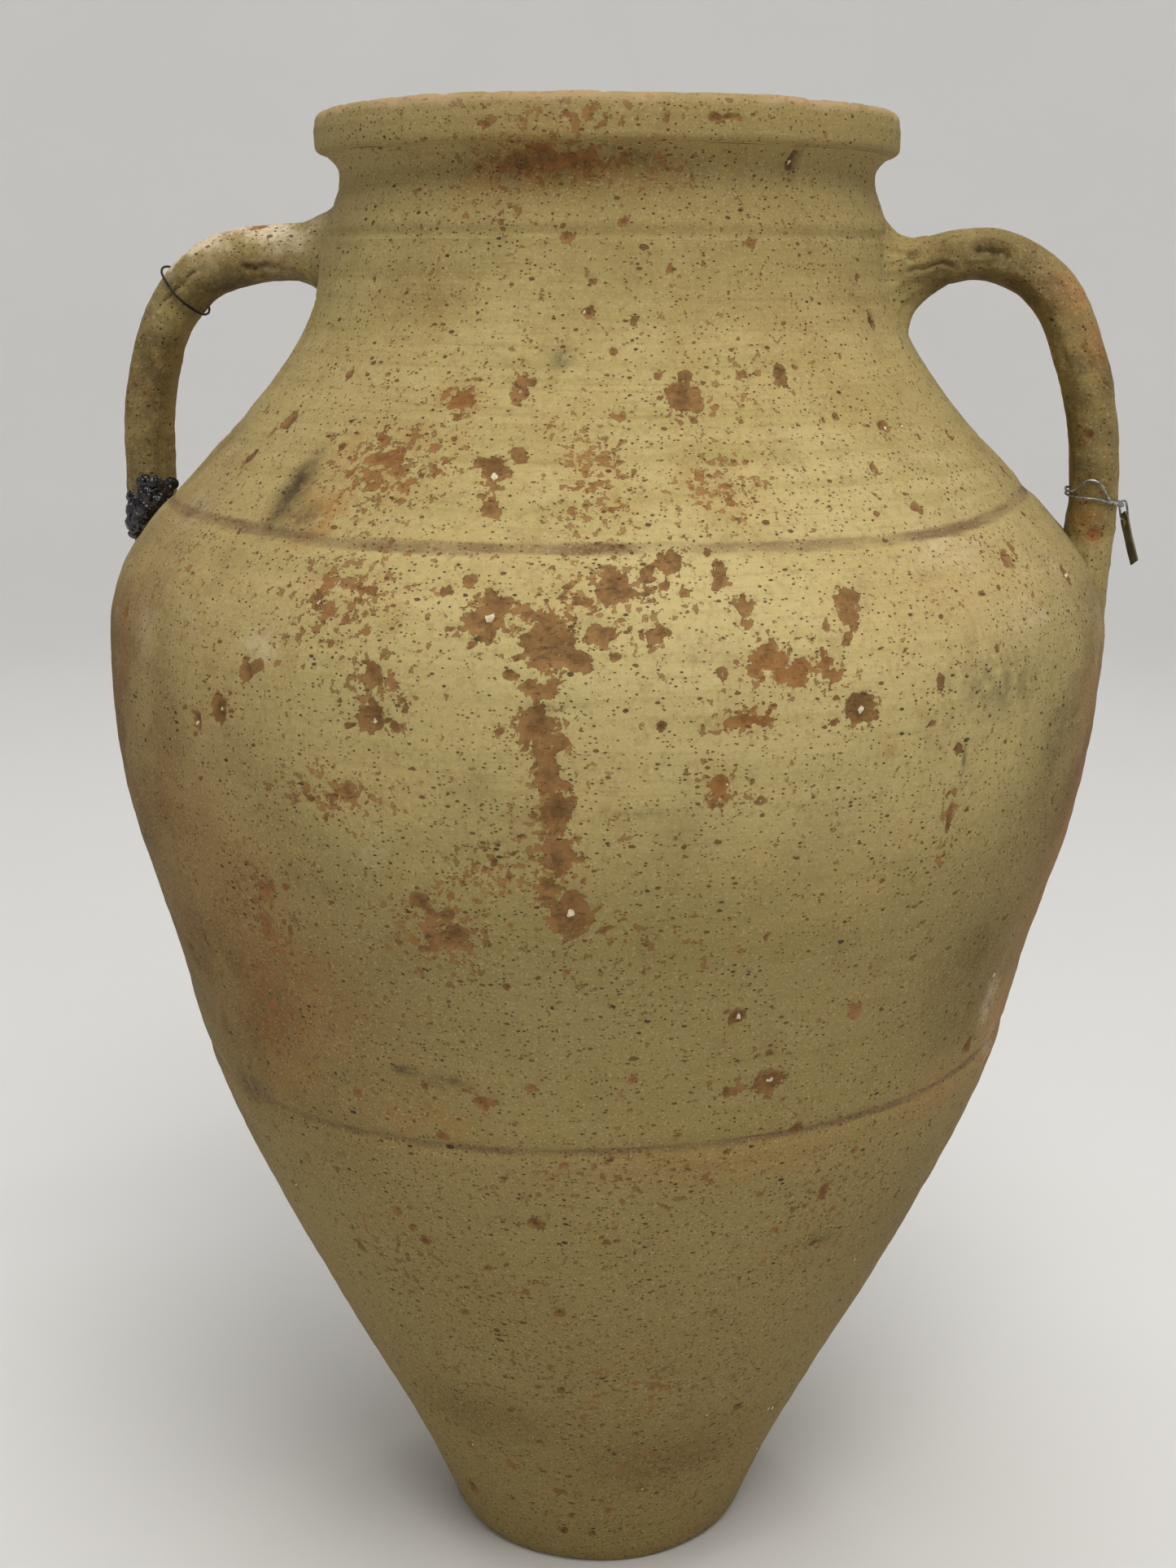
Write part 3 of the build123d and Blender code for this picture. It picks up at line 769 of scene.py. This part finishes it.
for (side, place), measures in roots.items():
    start, inner_more, middle, outer_reach, inner_reach, side_reach, strap_pull, wall_pull = measures
    sign = side_sign[side]
    centre, length = straps[side]
    start = start if start > 0 else length + start
    turn = full_turn(ROOT_COLUMNS)
    ragged_at = columns(20 * np.cos(turn), 20 * np.sin(turn), 0 * turn + 7 * sign + start)
    ragged = noise(ragged_at, 9, 101) + 0.5 * noise(ragged_at, 4, 102)
    toward = 1.0 if place == "lower" else -1.0

    # the collar starts on the strap, one point of a ring from each of many stations
    begins = start - toward * 2.5 * ragged - inner_more * oval(turn)[:, 0]
    each = np.arange(ROOT_COLUMNS)
    top = strap_rings(side, begins, ROOT_COLUMNS, -0.4)[0][each, each]
    leave = unit(strap_rings(side, begins + toward, ROOT_COLUMNS, -0.4)[0][each, each] - top)

    # and ends on the wall, in an oval round the handle's root
    ring = oval(turn, 2.1)
    reach = np.where(ring[:, 0] > 0, outer_reach, inner_reach)
    height = middle + ring[:, 0] * reach * (1 + 0.1 * ragged)
    sideways = ring[:, 1] * side_reach * (1 + 0.1 * ragged)
    neck_radius = neck_curve(np.minimum(height, waist_height))
    wall_radius = np.where(height > neck_base - 10, neck_radius, outside(height))
    angle = sign * (90 + np.degrees(sideways / wall_radius))
    foot = jar_point(angle, wall_radius - 0.4, height)
    heart = np.array([sign * float(outside(float(middle))), 0, middle])
    inward = unit(heart - foot)
    t = np.linspace(0, 1, ROOT_ROWS)[:, None, None]
    collar = (
        (1 - t) ** 3 * top + 3 * (1 - t) ** 2 * t * (top + leave * strap_pull)
        + 3 * (1 - t) * t**2 * (foot + inward * wall_pull) + t**3 * foot
    )
    strap_core = centre(np.array([start]))[0]
    core = np.array([sign * strap_core[0], 0, strap_core[1]])
    normal = grid_normals(collar)
    if np.sum(normal[0] * (top - core)) < 0:
        normal = -normal
    flat = collar.reshape(-1, 3)
    push, layers = relief(angle_of(flat), flat[:, 2], flat, tooled=False)
    push += 0.5 * noise(flat, 10, 103) + 0.25 * noise(flat, 4, 104)
    add_marks(side, flat, push, layers)
    surface = flat + normal.reshape(-1, 3) * push[:, None]

    # rows out of sight, through the wall and back inside the strap
    under_wall = jar_point(angle, wall_radius - 5, height)
    corner_at = [start + ROOT_DEPTH[place]]
    under_corner = keep_in_wall(strap_rings(side, corner_at, ROOT_COLUMNS, -4.0)[0][0])
    under_strap = top + (core - top) * 0.35
    layered = np.concatenate([surface, under_wall, under_corner, under_strap])
    add_hidden(layers, 3 * ROOT_COLUMNS)
    faces = grid_faces(ROOT_ROWS + 3, ROOT_COLUMNS) + closing_faces(ROOT_ROWS + 3, ROOT_COLUMNS)
    pieces[f"{side}_{place}_root_clay"] = make_object(f"{side}_{place}_root", layered, faces, layers)

# ---------------- wires
WIRE_RADIUS = 0.5
TWISTED_RADIUS = 0.42
TWIST_TURNS = 16


def tube(path, radius, sides=12, closed=False):
    """A round tube in millimetres along a path of points."""
    path = np.asarray(path, float)
    run = np.gradient(path, axis=0)
    if closed:
        run = np.roll(path, -1, axis=0) - np.roll(path, 1, axis=0)
    run = unit(run)
    side = np.cross(run[0], (0.3, 0.1, 1.0))
    rings = []
    for spot, way in zip(path, run):
        side = unit(side - way * (side @ way))
        other = np.cross(way, side)
        turn = full_turn(sides)[:, None]
        rings.append(spot + radius * (np.cos(turn) * side + np.sin(turn) * other))
    faces = grid_faces(len(path), sides)
    if closed:
        apart = [np.roll(rings[0], -k, axis=0) - rings[-1] for k in range(sides)]
        shift = np.argmin([np.linalg.norm(gap, axis=1).sum() for gap in apart])
        faces += closing_faces(len(path), sides, int(shift))
    else:
        faces += [list(range(sides)), [(len(path) - 1) * sides + k for k in range(sides)]]
    return np.concatenate(rings), faces


def joined_mesh(name, parts):
    points, faces = [], []
    for part_points, part_faces in parts:
        first = len(points)
        points += list(part_points)
        faces += [[index + first for index in face] for face in part_faces]
    return make_object(name, points, faces)


def twisted(path, turn_count, spread, phase=0.0):
    """A strand that winds round a path."""
    run = unit(np.gradient(path, axis=0))
    side = unit(np.cross(run, (0.2, 0.3, 1.0)))
    other = np.cross(run, side)
    turn = (phase + np.linspace(0, turn_count * 2 * np.pi, len(path)))[:, None]
    return path + spread * (np.cos(turn) * side + np.sin(turn) * other)


def loop_round(side, middle, lean, half_x, half_y, wobble, seed, count=150):
    """A wire loop round a strap: lean tips its outer edge down."""
    sign = side_sign[side]
    tilt = math.radians(lean)
    outer_edge = np.array([sign * math.cos(tilt), 0, -math.sin(tilt)])
    up = np.array([sign * math.sin(tilt), 0, math.cos(tilt)])
    turn = full_turn(count)
    shape = columns(np.cos(turn), np.sin(turn), 0 * turn)
    bend = 1 + wobble * noise(shape * 10, 7, seed)
    lift = 12 * wobble * noise(shape * 10, 8, seed + 1)
    centre = np.array([sign * middle[0], 0, middle[1]])
    return (
        centre + (half_x * shape[:, 0] * bend)[:, None] * outer_edge
        + (half_y * shape[:, 1] * bend)[:, None] * (0, 1, 0) + lift[:, None] * up
    )


left_loop = loop_round("left", (180.8, 550.2), -50, 12.9, 16.4, 0.02, 111)
pieces["left_wire"] = joined_mesh("left_tie_wire", [tube(left_loop, WIRE_RADIUS, closed=True)])


def strap_side_route(side, stations, count):
    """A path on the upright part of a strap: degrees from its outer side to the front, height, lift."""
    centre, length = straps[side]
    fine = centre(np.linspace(0.5 * length, length, 400))
    spots = []
    for degrees, height, lift in stations:
        across, deep = oval(math.radians(degrees))
        middle = np.interp(height, fine[::-1, 1], fine[::-1, 0])
        outward_x = middle + across * (strap_half_thickness[side][1] + lift)
        spots.append((side_sign[side] * outward_x, -deep * (strap_half_depth + lift), height))
    route, route_length = curve_through(spots)
    return route(np.linspace(0, route_length, count))


# two strands cross the front of the right handle, one arched, and run on as one to the tag
arched = strap_side_route("right", [
    (230, 473.4, 0.6), (180, 474.6, 0.8), (150, 474, 0.9), (128, 475.6, 0.9), (108, 479, 1.1),
    (88, 478.6, 1.1), (72, 474, 0.9), (60, 470.4, 0.9),
], 120)
lower = strap_side_route("right", [
    (230, 472.6, 0.6), (180, 472.6, 0.7), (150, 472.4, 0.8), (120, 472.2, 0.8), (88, 471.8, 0.9),
    (60, 470.4, 0.8),
], 100)
outer_run = strap_side_route("right", [
    (62, 470.6, 1.0), (40, 469.6, 1.0), (20, 468.7, 1.1), (0, 468.2, 1.5), (-18, 468.4, 1.3),
    (-45, 469.4, 1.0), (-75, 470.6, 0.8), (-105, 471.8, 0.5), (-130, 472.8, 0.4),
], 170)
strands = [tube(arched, WIRE_RADIUS), tube(lower, WIRE_RADIUS)]
for phase in (0.0, math.pi):
    strands.append(tube(twisted(outer_run, TWIST_TURNS, TWISTED_RADIUS, phase), TWISTED_RADIUS))
pieces["right_wire"] = joined_mesh("right_tie_wire", strands)

# ---------------- the tag
joints = {joint["name"]: joint for joint in frame["joints"]}
outward = np.array(joints["tag_swing"]["axis"])
along_wire = -np.array(joints["link_swing"]["axis"])
hang_down = np.cross(along_wire, outward)
eyelet_low, eyelet_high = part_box("tag_eyelet")
eyelet_centre = np.array((eyelet_low + eyelet_high) / 2) / MM - 0.15 * outward
tag_turn = math.radians(-18)
tag_x = math.cos(tag_turn) * hang_down + math.sin(tag_turn) * along_wire
tag_y = np.cross(outward, tag_x)
TAG_HOLE, TAG_TOP, TAG_CUT = 2.2, -3.6, 2.6
TAG_LENGTH, TAG_HALF_WIDTH, TAG_HALF_THICKNESS = 21.0, 5.6, 0.34
TAG_SHOULDER = TAG_HALF_WIDTH - TAG_TOP - TAG_CUT


def tag_reach(turn):
    """Distance from the hole's middle to the tag's edge: a rectangle with two cut corners."""
    c, s = math.cos(turn), math.sin(turn)
    limits = []
    for across, along, distance in (
        (1, 0, TAG_TOP + TAG_LENGTH), (-1, 0, -TAG_TOP), (0, 1, TAG_HALF_WIDTH), (0, -1, TAG_HALF_WIDTH),
        (-1, 1, TAG_SHOULDER), (-1, -1, TAG_SHOULDER),
    ):
        slope = across * c + along * s
        if slope > 1e-6:
            limits.append(distance / slope)
    return min(limits)


TAG_COLUMNS, TAG_ROWS = 144, 16
TAG_EDGE = 0.985
tag_turns = full_turn(TAG_COLUMNS)
reaches = np.array([tag_reach(turn) for turn in tag_turns])
profile = [(share, 1.0) for share in np.linspace(0, TAG_EDGE, TAG_ROWS)]
profile += [(1.0, 0.55), (1.0, -0.55)] + [(share, -1.0) for share in np.linspace(TAG_EDGE, 0, TAG_ROWS)]
tag_points = []
for share, face in profile:
    distance = TAG_HOLE + share * (reaches - TAG_HOLE)
    edge = columns(distance * np.cos(tag_turns), distance * np.sin(tag_turns), 0 * reaches)
    worn = share**6 * 0.35 * noise(edge, 1.6, 121)
    u, v, _ = edge.T * (1 - worn / reaches)
    curl = 0.5 * (np.maximum(u, 0) / 18) ** 2 - 0.35 * (v / 8) ** 2 * np.maximum(u, 0) / 18
    off = face * TAG_HALF_THICKNESS + curl + 0.08 * noise(edge, 4, 122)
    tag_points.append(eyelet_centre + u[:, None] * tag_x + v[:, None] * tag_y + off[:, None] * outward)
tag_faces = grid_faces(len(profile), TAG_COLUMNS) + closing_faces(len(profile), TAG_COLUMNS)
pieces["hang_tag"] = make_object("blank_tag", np.concatenate(tag_points), tag_faces)

# ---------------- pitch in the crook of the handle
# nodules: x, y, z, radius
pitch_balls = [
    (-197, -16, 465, 5.4), (-203.5, -14, 458.5, 5.0), (-198, -18, 459.5, 5.4),
    (-203.5, -16.5, 453, 4.6), (-191.5, -13.5, 466.5, 4.6), (-193, -17.5, 470, 3.6),
    (-188.5, -12, 469.5, 3.0), (-199.5, -15, 470.5, 3.2), (-205.5, -13, 464, 3.0),
    (-200.5, -19.5, 455, 3.4), (-204.5, -15, 448.5, 3.0), (-192.5, -18, 462.5, 3.6),
    (-195.5, -20, 464.5, 2.6), (-201, -19.5, 461.5, 2.6), (-198, -17.5, 452.5, 3.0),
    (-190, -14, 461.5, 3.4),
]
PITCH_SHIFT = Vector((1.6, 0, 0))
blob = bmesh.new()
for *middle, size in pitch_balls:
    place = Matrix.Translation((Vector(middle) + PITCH_SHIFT) * MM)
    bmesh.ops.create_icosphere(blob, subdivisions=3, radius=size * MM, matrix=place)
blob_mesh = bpy.data.meshes.new("pitch_blob")
blob.to_mesh(blob_mesh)
blob.free()
blob_object = linked("pitch_blob", blob_mesh)
remesh = blob_object.modifiers.new("fuse", "REMESH")
remesh.mode = "VOXEL"
remesh.voxel_size = 0.4 * MM
soften = blob_object.modifiers.new("soften", "SMOOTH")
soften.iterations = 6
bpy.context.view_layer.update()
fused = bpy.data.meshes.new_from_object(blob_object.evaluated_get(bpy.context.evaluated_depsgraph_get()))
bpy.data.objects.remove(blob_object)


def vertex_values(name):
    values = np.zeros(len(fused.vertices) * 3)
    fused.vertices.foreach_get(name, values)
    return values.reshape(-1, 3)


spots = vertex_values("co") / MM
lumps = 0.9 * np.abs(noise(spots, 3.6, 131)) + 0.35 * noise(spots, 1.5, 132) - 0.25
spots = spots + vertex_values("normal") * lumps[:, None]
pieces["pitch_lump"] = make_object("pitch_nodules", spots, [list(face.vertices) for face in fused.polygons])

# ---------------- materials


def linear(*rgb):
    """A colour given as 0-255 display values, for a shader socket."""
    return tuple((value / 255) ** 2.2 for value in rgb) + (1.0,)


class Shader:
    """A material's node tree, built with short calls, and the colour laid down so far."""

    def __init__(self, name):
        self.material = bpy.data.materials.new(name)
        self.material.use_nodes = True
        self.tree = self.material.node_tree
        self.surface = self.tree.nodes["Principled BSDF"].inputs
        self.place = self.node("TexCoord").outputs["Object"]
        self.colour = None

    def put(self, socket, value):
        if isinstance(value, bpy.types.NodeSocket):
            self.tree.links.new(value, socket)
        else:
            socket.default_value = value

    def node(self, kind, sockets=None, **settings):
        """A new node with these settings, its input sockets set to values or linked to outputs."""
        made = self.tree.nodes.new("ShaderNode" + kind)
        for setting, value in settings.items():
            setattr(made, setting, value)
        for socket, value in (sockets or {}).items():
            self.put(made.inputs[socket], value)
        return made

    def math(self, kind, a, b):
        return self.node("Math", {0: a, 1: b}, operation=kind).outputs[0]

    def times(self, a, b):
        return self.math("MULTIPLY", a, b)

    def plus(self, a, b):
        return self.math("ADD", a, b)

    def largest(self, a, b):
        return self.math("MAXIMUM", a, b)

    def mix(self, share, a, b):
        return self.node("Mix", {"Factor": share, 6: a, 7: b}, data_type="RGBA").outputs[2]

    def moved(self, stretch):
        return self.node("Mapping", {"Scale": stretch, "Vector": self.place}).outputs[0]

    def noise(self, scale, detail=2.0, stretch=(1, 1, 1), rough=0.5):
        sockets = {"Vector": self.moved(stretch), "Scale": scale, "Detail": detail, "Roughness": rough}
        return self.node("TexNoise", sockets).outputs[0]

    def rise(self, value, low, high):
        """0 at low and 1 at high, with a smooth rise between."""
        sockets = {"Value": value, "From Min": low, "From Max": high}
        return self.node("MapRange", sockets, interpolation_type="SMOOTHSTEP").outputs[0]

    def patches(self, low, high, scale, *detail, **looks):
        """Where a noise is above a level, with a soft edge from low to high."""
        return self.rise(self.noise(scale, *detail, **looks), low, high)

    def shaken(self, value, noise, amount):
        """A value made uneven by a noise that lies round 0.5."""
        return self.plus(value, self.times(self.plus(noise, -0.5), amount))

    def dots(self, scale, share, radius):
        """Spots in some cells of a Voronoi pattern, 1 inside one; radius is the largest, in millimetres."""
        size = radius * MM * scale
        sockets = {"Vector": self.moved((1, 1, 1.7)), "Scale": scale, "Randomness": 1.0}
        made = self.node("TexVoronoi", sockets).outputs
        split = self.node("SeparateColor", {0: made["Color"]}).outputs
        gap = self.shaken(made["Distance"], self.noise(scale * 5, 1.0), size * 0.9)
        depth = self.math("SUBTRACT", self.times(split[1], size), gap)
        inside_spot = self.rise(depth, -0.12 * size, 0.12 * size)
        return self.times(self.math("GREATER_THAN", share, split[0]), inside_spot)

    def layer(self, name):
        return self.node("Attribute", attribute_name=name).outputs["Fac"]

    def stain(self, name, low, high, *noise, **looks):
        """A layer broken up by a noise."""
        return self.times(self.layer(name), self.patches(low, high, *noise, **looks))

    def blend(self, share, low, high):
        """From one colour to another, both given as display values."""
        return self.mix(share, linear(*low), linear(*high))

    def coat(self, share, strength, *tone):
        """Lays a tone over the colour so far: three display values, or an output."""
        tone = linear(*tone) if len(tone) == 3 else tone[0]
        self.colour = self.mix(self.times(share, strength), self.colour, tone)

    def bump(self, height, distance, strength, under=None):
        sockets = {"Strength": strength, "Distance": distance, "Height": height}
        if under is not None:
            sockets["Normal"] = under
        return self.node("Bump", sockets).outputs[0]

    def finished(self, roughness, normal):
        for socket, value in (("Base Color", self.colour), ("Roughness", roughness), ("Normal", normal)):
            self.put(self.surface[socket], value)
        return self.material


def clay_material():
    clay = Shader("worn_slip_clay")
    height = clay.node("SeparateXYZ", {0: clay.place}).outputs[2]
    broad = clay.noise(7, 3.0)
    patch = clay.noise(24, 3.0)
    brushed = clay.noise(9, 4.0, (1, 1, 22))
    thin_brush = clay.noise(26, 3.0, (1, 1, 26))
    grain = clay.noise(420, 2.0)
    powder = clay.noise(1100, 1.0)

    clay.colour = clay.blend(clay.rise(broad, 0.35, 0.65), (170, 152, 97), (186, 168, 114))
    clay.coat(clay.rise(patch, 0.42, 0.72), 0.55, 170, 144, 88)
    clay.coat(clay.rise(brushed, 0.45, 0.75), 0.55, 158, 144, 84)
    clay.coat(clay.rise(brushed, 0.5, 0.25), 0.4, 194, 172, 116)
    clay.coat(clay.rise(thin_brush, 0.52, 0.74), 0.4, 150, 128, 78)

    # darker on the neck, paler on the upper belly, darker and browner towards the foot; the darkening
    # towards the foot is partly painted shade and partly browner clay
    low = clay.rise(clay.shaken(height, broad, 0.12), 0.3, 0.06)
    upper_belly = clay.times(clay.rise(height, 0.3, 0.4), clay.rise(height, 0.5, 0.45))
    clay.coat(clay.rise(clay.shaken(height, patch, 0.06), 0.525, 0.585), 0.65, 138, 120, 76)
    clay.coat(upper_belly, 0.28, 206, 188, 132)
    clay.coat(low, 0.7, 138, 114, 64)
    clay.coat(clay.rise(clay.shaken(height, patch, 0.08), 0.42, 0.33), 0.69, 124, 108, 64)
    clay.coat(clay.patches(0.5, 0.75, 60, 4.0, (1, 1, 0.6), 0.65), 0.3, 120, 95, 58)

    # stains with some painted shade and a painted highlight, and the scored seams
    dirt_and_shade_amount = clay.plus(clay.times(clay.patches(0.35, 0.65, 30, 4.0, rough=0.6), 0.5), 0.7)
    # the dirt layer: dirt, and painted shade on the jar's sides and on the straps
    clay.coat(clay.layer("dirt_and_shade"), dirt_and_shade_amount, 98, 79, 41)
    clay.coat(clay.layer("blush"), 0.6, 162, 112, 68)
    clay.coat(clay.stain("rust", 0.34, 0.68, 90, 4.0, rough=0.65), 0.75, 156, 100, 38)
    # the pale layer: pale scuffs, and a painted highlight along the top of the left strap, made even where
    # the layer runs high
    pale_noise = clay.plus(clay.noise(70, 5.0, rough=0.7), clay.times(clay.layer("pale"), 0.06))
    clay.coat(clay.times(clay.layer("pale"), clay.rise(pale_noise, 0.42, 0.68)), 0.75, 208, 190, 160)
    uneven = clay.plus(clay.times(clay.patches(0.3, 0.62, 38, 4.0), 0.45), 0.42)
    clay.coat(clay.layer("seam"), uneven, 112, 88, 62)

    # the gritty surface: light and dark grains, and pores
    clay.coat(clay.rise(grain, 0.45, 0.8), 0.35, 130, 106, 66)
    clay.coat(clay.rise(powder, 0.5, 0.85), 0.35, 212, 194, 148)
    lots = clay.plus(clay.times(low, 0.25), clay.plus(clay.times(clay.layer("flecks"), 0.25), 0.45))
    pores = clay.dots(560, lots, 0.62)
    for scale, share, radius in ((240, 0.7, 1.1), (100, 0.35, 1.7)):
        pores = clay.largest(pores, clay.dots(scale, clay.times(lots, share), radius))
    spot_tone = clay.blend(clay.patches(0.45, 0.62, 50, 1.0), (104, 68, 36), (52, 36, 24))
    clay.coat(pores, 0.85, spot_tone)

    # small brown flecks, crowded together in the freckled patches
    crowded = clay.plus(clay.noise(300, 3.0, rough=0.6), clay.times(clay.layer("flecks"), 0.17))
    specks = clay.rise(crowded, 0.655, 0.68)
    speck_tone = clay.blend(clay.rise(patch, 0.4, 0.6), (118, 78, 42), (142, 96, 50))
    clay.coat(specks, 0.7, speck_tone)

    # bare brown clay where the slip has flaked away
    slip_colour = clay.colour
    chip = clay.shaken(clay.layer("chip"), clay.noise(520, 3.0, rough=0.6), 1.3)
    bare = clay.rise(chip, -0.01, 0.05)
    clay.colour = clay.blend(clay.patches(0.38, 0.62, 120, 3.0), (114, 82, 48), (144, 106, 64))
    clay.coat(clay.patches(0.45, 0.7, 500, 2.0), 0.6, 146, 108, 68)
    clay.coat(clay.patches(0.63, 0.67, 210, 2.0, (1, 1, 2.6)), 0.5, 38, 27, 18)
    clay.coat(clay.rise(chip, 0.4, 1.1), 0.45, 72, 46, 26)
    clay.colour = clay.mix(clay.times(bare, 0.93), slip_colour, clay.colour)
    clay.coat(clay.times(clay.layer("rust"), bare), 0.32, 164, 96, 36)

    # the soot layer: dark marks, and painted shade along the cracks and on the straps' inner sides and
    # undersides
    clay.coat(clay.stain("soot_and_shade", 0.3, 0.6, 160, 4.0, rough=0.65), 0.85, 46, 42, 38)
    lime = clay.rise(clay.shaken(clay.layer("lime"), clay.noise(900, 2.0), 0.5), 0.35, 0.5)
    lime_tone = clay.blend(powder, (232, 218, 190), (204, 186, 152))
    clay.coat(lime, 1.0, lime_tone)
    clay.coat(clay.stain("worn", 0.3, 0.6, 55, 4.0), 0.6, 180, 150, 114)
    inner = clay.blend(clay.rise(brushed, 0.35, 0.65), (140, 104, 68), (168, 130, 88))
    clay.coat(clay.layer("inner"), 1.0, inner)

    clay.surface["Specular IOR Level"].default_value = 0.28
    rough = clay.bump(clay.noise(260, 4.0, rough=0.6), 0.0007, 0.55)
    rough = clay.bump(thin_brush, 0.0006, 0.35, rough)
    rough = clay.bump(clay.times(pores, -1.0), 0.0006, 0.8, rough)
    rough = clay.bump(clay.times(clay.largest(bare, specks), -1.0), 0.0004, 0.8, rough)
    return clay.finished(clay.plus(clay.times(grain, 0.18), 0.78), rough)


def metal_material(name, dark, light, rust, roughness, metallic, rust_share):
    metal = Shader(name)
    metal.colour = metal.blend(metal.patches(0.35, 0.65, 500, 3.0), dark, light)
    metal.coat(metal.patches(0.62 - 0.3 * rust_share, 0.75, 900, 3.0), 1.0, *rust)
    metal.surface["Metallic"].default_value = metallic
    uneven = metal.plus(metal.times(metal.noise(700), 0.3), roughness)
    return metal.finished(uneven, metal.bump(metal.noise(1600, 3.0), 0.0001, 0.6))


def card_material():
    card = Shader("card_with_painted_shade")
    fibres = card.noise(500, 4.0, (1, 1, 0.25), 0.7)
    # the card's dark olive tones are painted shade: the tag as it looks in shadow behind the right handle
    card.colour = card.blend(card.patches(0.35, 0.65, 160, 4.0), (74, 70, 46), (104, 98, 66))
    card.coat(card.rise(fibres, 0.45, 0.7), 0.5, 136, 128, 94)
    card.coat(card.patches(0.56, 0.7, 90, 3.0), 0.6, 58, 46, 30)
    uneven = card.plus(card.times(fibres, 0.2), 0.7)
    return card.finished(uneven, card.bump(fibres, 0.0002, 0.7))


def pitch_material():
    pitch = Shader("black_pitch")
    # pale pinkish specks over the black, rougher than the rest
    pale_specks = pitch.patches(0.6, 0.7, 650, 4.0, rough=0.7)
    pitch.colour = pitch.blend(pitch.patches(0.4, 0.65, 200, 3.0), (16, 15, 18), (46, 42, 44))
    pitch.coat(pale_specks, 0.8, 176, 156, 146)
    glossy = pitch.plus(pitch.times(pale_specks, 0.5), 0.24)
    return pitch.finished(glossy, pitch.bump(pitch.noise(800, 3.0), 0.0003, 0.6))


clay = clay_material()
black = metal_material("blackened_wire", (22, 21, 20), (52, 48, 44), (88, 58, 38), 0.45, 0.6, 0.4)
zinc = metal_material("galvanised_wire", (120, 120, 122), (186, 186, 188), (84, 70, 60), 0.32, 0.9, 0.3)
brass = metal_material("tarnished_eyelet", (112, 92, 56), (156, 134, 86), (66, 56, 40), 0.4, 0.85, 0.3)
finishes = {"left_wire": ("dark_wire", black), "right_wire": ("galvanised_wire", zinc),
            "hang_tag": ("tag_card", card_material()), "pitch_lump": ("black_pitch", pitch_material())}
bodies = {"hang_tag": "tag"}
for node, piece in pieces.items():
    slot, material = finishes.get(node, ("fired_clay", clay))
    piece.data.materials.append(material)
    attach(piece, bodies.get(node, "jar"))
    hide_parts(node)
for node, material in (("tag_link", zinc), ("tag_eyelet", brass)):
    mesh = frame["nodes"][node].data
    mesh.materials.clear()
    mesh.materials.append(material)

# ---------------- floor, light and camera
floor_material = Shader("pale_floor")
floor_tone = floor_material.blend(floor_material.noise(3, 3.0), (228, 227, 225), (234, 233, 231))
floor_material.put(floor_material.surface["Base Color"], floor_tone)
floor_material.surface["Roughness"].default_value = 0.9
FLOOR_REACH, BOWL_RADIUS, BOWL_STEPS, BOWL_SIDES = 2.4, 1.6, 16, 96
bowl = [(0.0, 0.0), (FLOOR_REACH * 0.5, 0.0)]
for step in range(BOWL_STEPS + 1):
    rise = math.pi / 2 * step / BOWL_STEPS
    bowl.append((FLOOR_REACH + BOWL_RADIUS * math.sin(rise), BOWL_RADIUS * (1 - math.cos(rise))))
bowl.append((FLOOR_REACH + BOWL_RADIUS, BOWL_RADIUS + 1.5))
floor_points, floor_faces = [(0, 0, 0)], []
for radius, level in bowl[1:]:
    for k in range(BOWL_SIDES):
        turn = 2 * math.pi * k / BOWL_SIDES
        floor_points.append((radius * math.cos(turn), radius * math.sin(turn), level))
for k in range(BOWL_SIDES):
    floor_faces.append((0, 1 + (k + 1) % BOWL_SIDES, 1 + k))
floor_faces += [tuple(face) for face in grid_faces(len(bowl) - 1, BOWL_SIDES, 1)]
floor_mesh = bpy.data.meshes.new("floor")
floor_mesh.from_pydata(floor_points, [], floor_faces)
for polygon in floor_mesh.polygons:
    polygon.use_smooth = True
floor_mesh.materials.append(floor_material.material)
floor = linked("floor", floor_mesh)

world = bpy.data.worlds.new("studio")
world.use_nodes = True
world.node_tree.nodes["Background"].inputs[0].default_value = (1.0, 0.99, 0.97, 1)
world.node_tree.nodes["Background"].inputs[1].default_value = 0.05
bpy.context.scene.world = world
bpy.context.scene.view_settings.view_transform = "Standard"


def area_light(name, place, target, size, power, colour=(1, 1, 1)):
    lamp = bpy.data.lights.new(name, "AREA")
    lamp.shape = "RECTANGLE"
    lamp.size, lamp.size_y = size
    lamp.energy = power
    lamp.color = colour
    made = linked(name, lamp)
    made.location = place
    made.rotation_euler = (Vector(target) - Vector(place)).to_track_quat("-Z", "Y").to_euler()


area_light("key", (0.5, -1.2, 2.3), (0, 0, 0.45), (1.2, 1.0), 27, (1.0, 0.985, 0.95))
area_light("top", (0.05, 0.1, 2.4), (0, 0, 0.5), (1.3, 1.3), 11.5, (1.0, 0.99, 0.97))
# four lamps near the middle light the surround, which lights the jar from every side
for k in range(4):
    turn = math.radians(90 * k + 45)
    out_x, out_y = math.cos(turn), math.sin(turn)
    place, target = (1.1 * out_x, 1.1 * out_y, 2.6), (3.2 * out_x, 3.2 * out_y, 1.0)
    area_light(f"wash_{k}", place, target, (1.6, 0.5), 25)

CAMERA_PLACE = (0.1359, -0.8503, 0.5594)
CAMERA_HEADING, CAMERA_DIP, CAMERA_ROLL = FRONT, 14.18, 0.25
camera_data = bpy.data.cameras.new("camera")
camera_data.lens = 46.7
camera_data.sensor_width = 36.0
camera_data.clip_start = 0.05
camera_data.clip_end = 60.0
camera = linked("camera", camera_data)
camera_turn = Matrix()
for degrees, axis in ((CAMERA_HEADING, "Z"), (90 - CAMERA_DIP, "X"), (CAMERA_ROLL, "Z")):
    camera_turn = camera_turn @ Matrix.Rotation(math.radians(degrees), 4, axis)
camera.matrix_world = Matrix.Translation(CAMERA_PLACE) @ camera_turn
bpy.context.scene.camera = camera
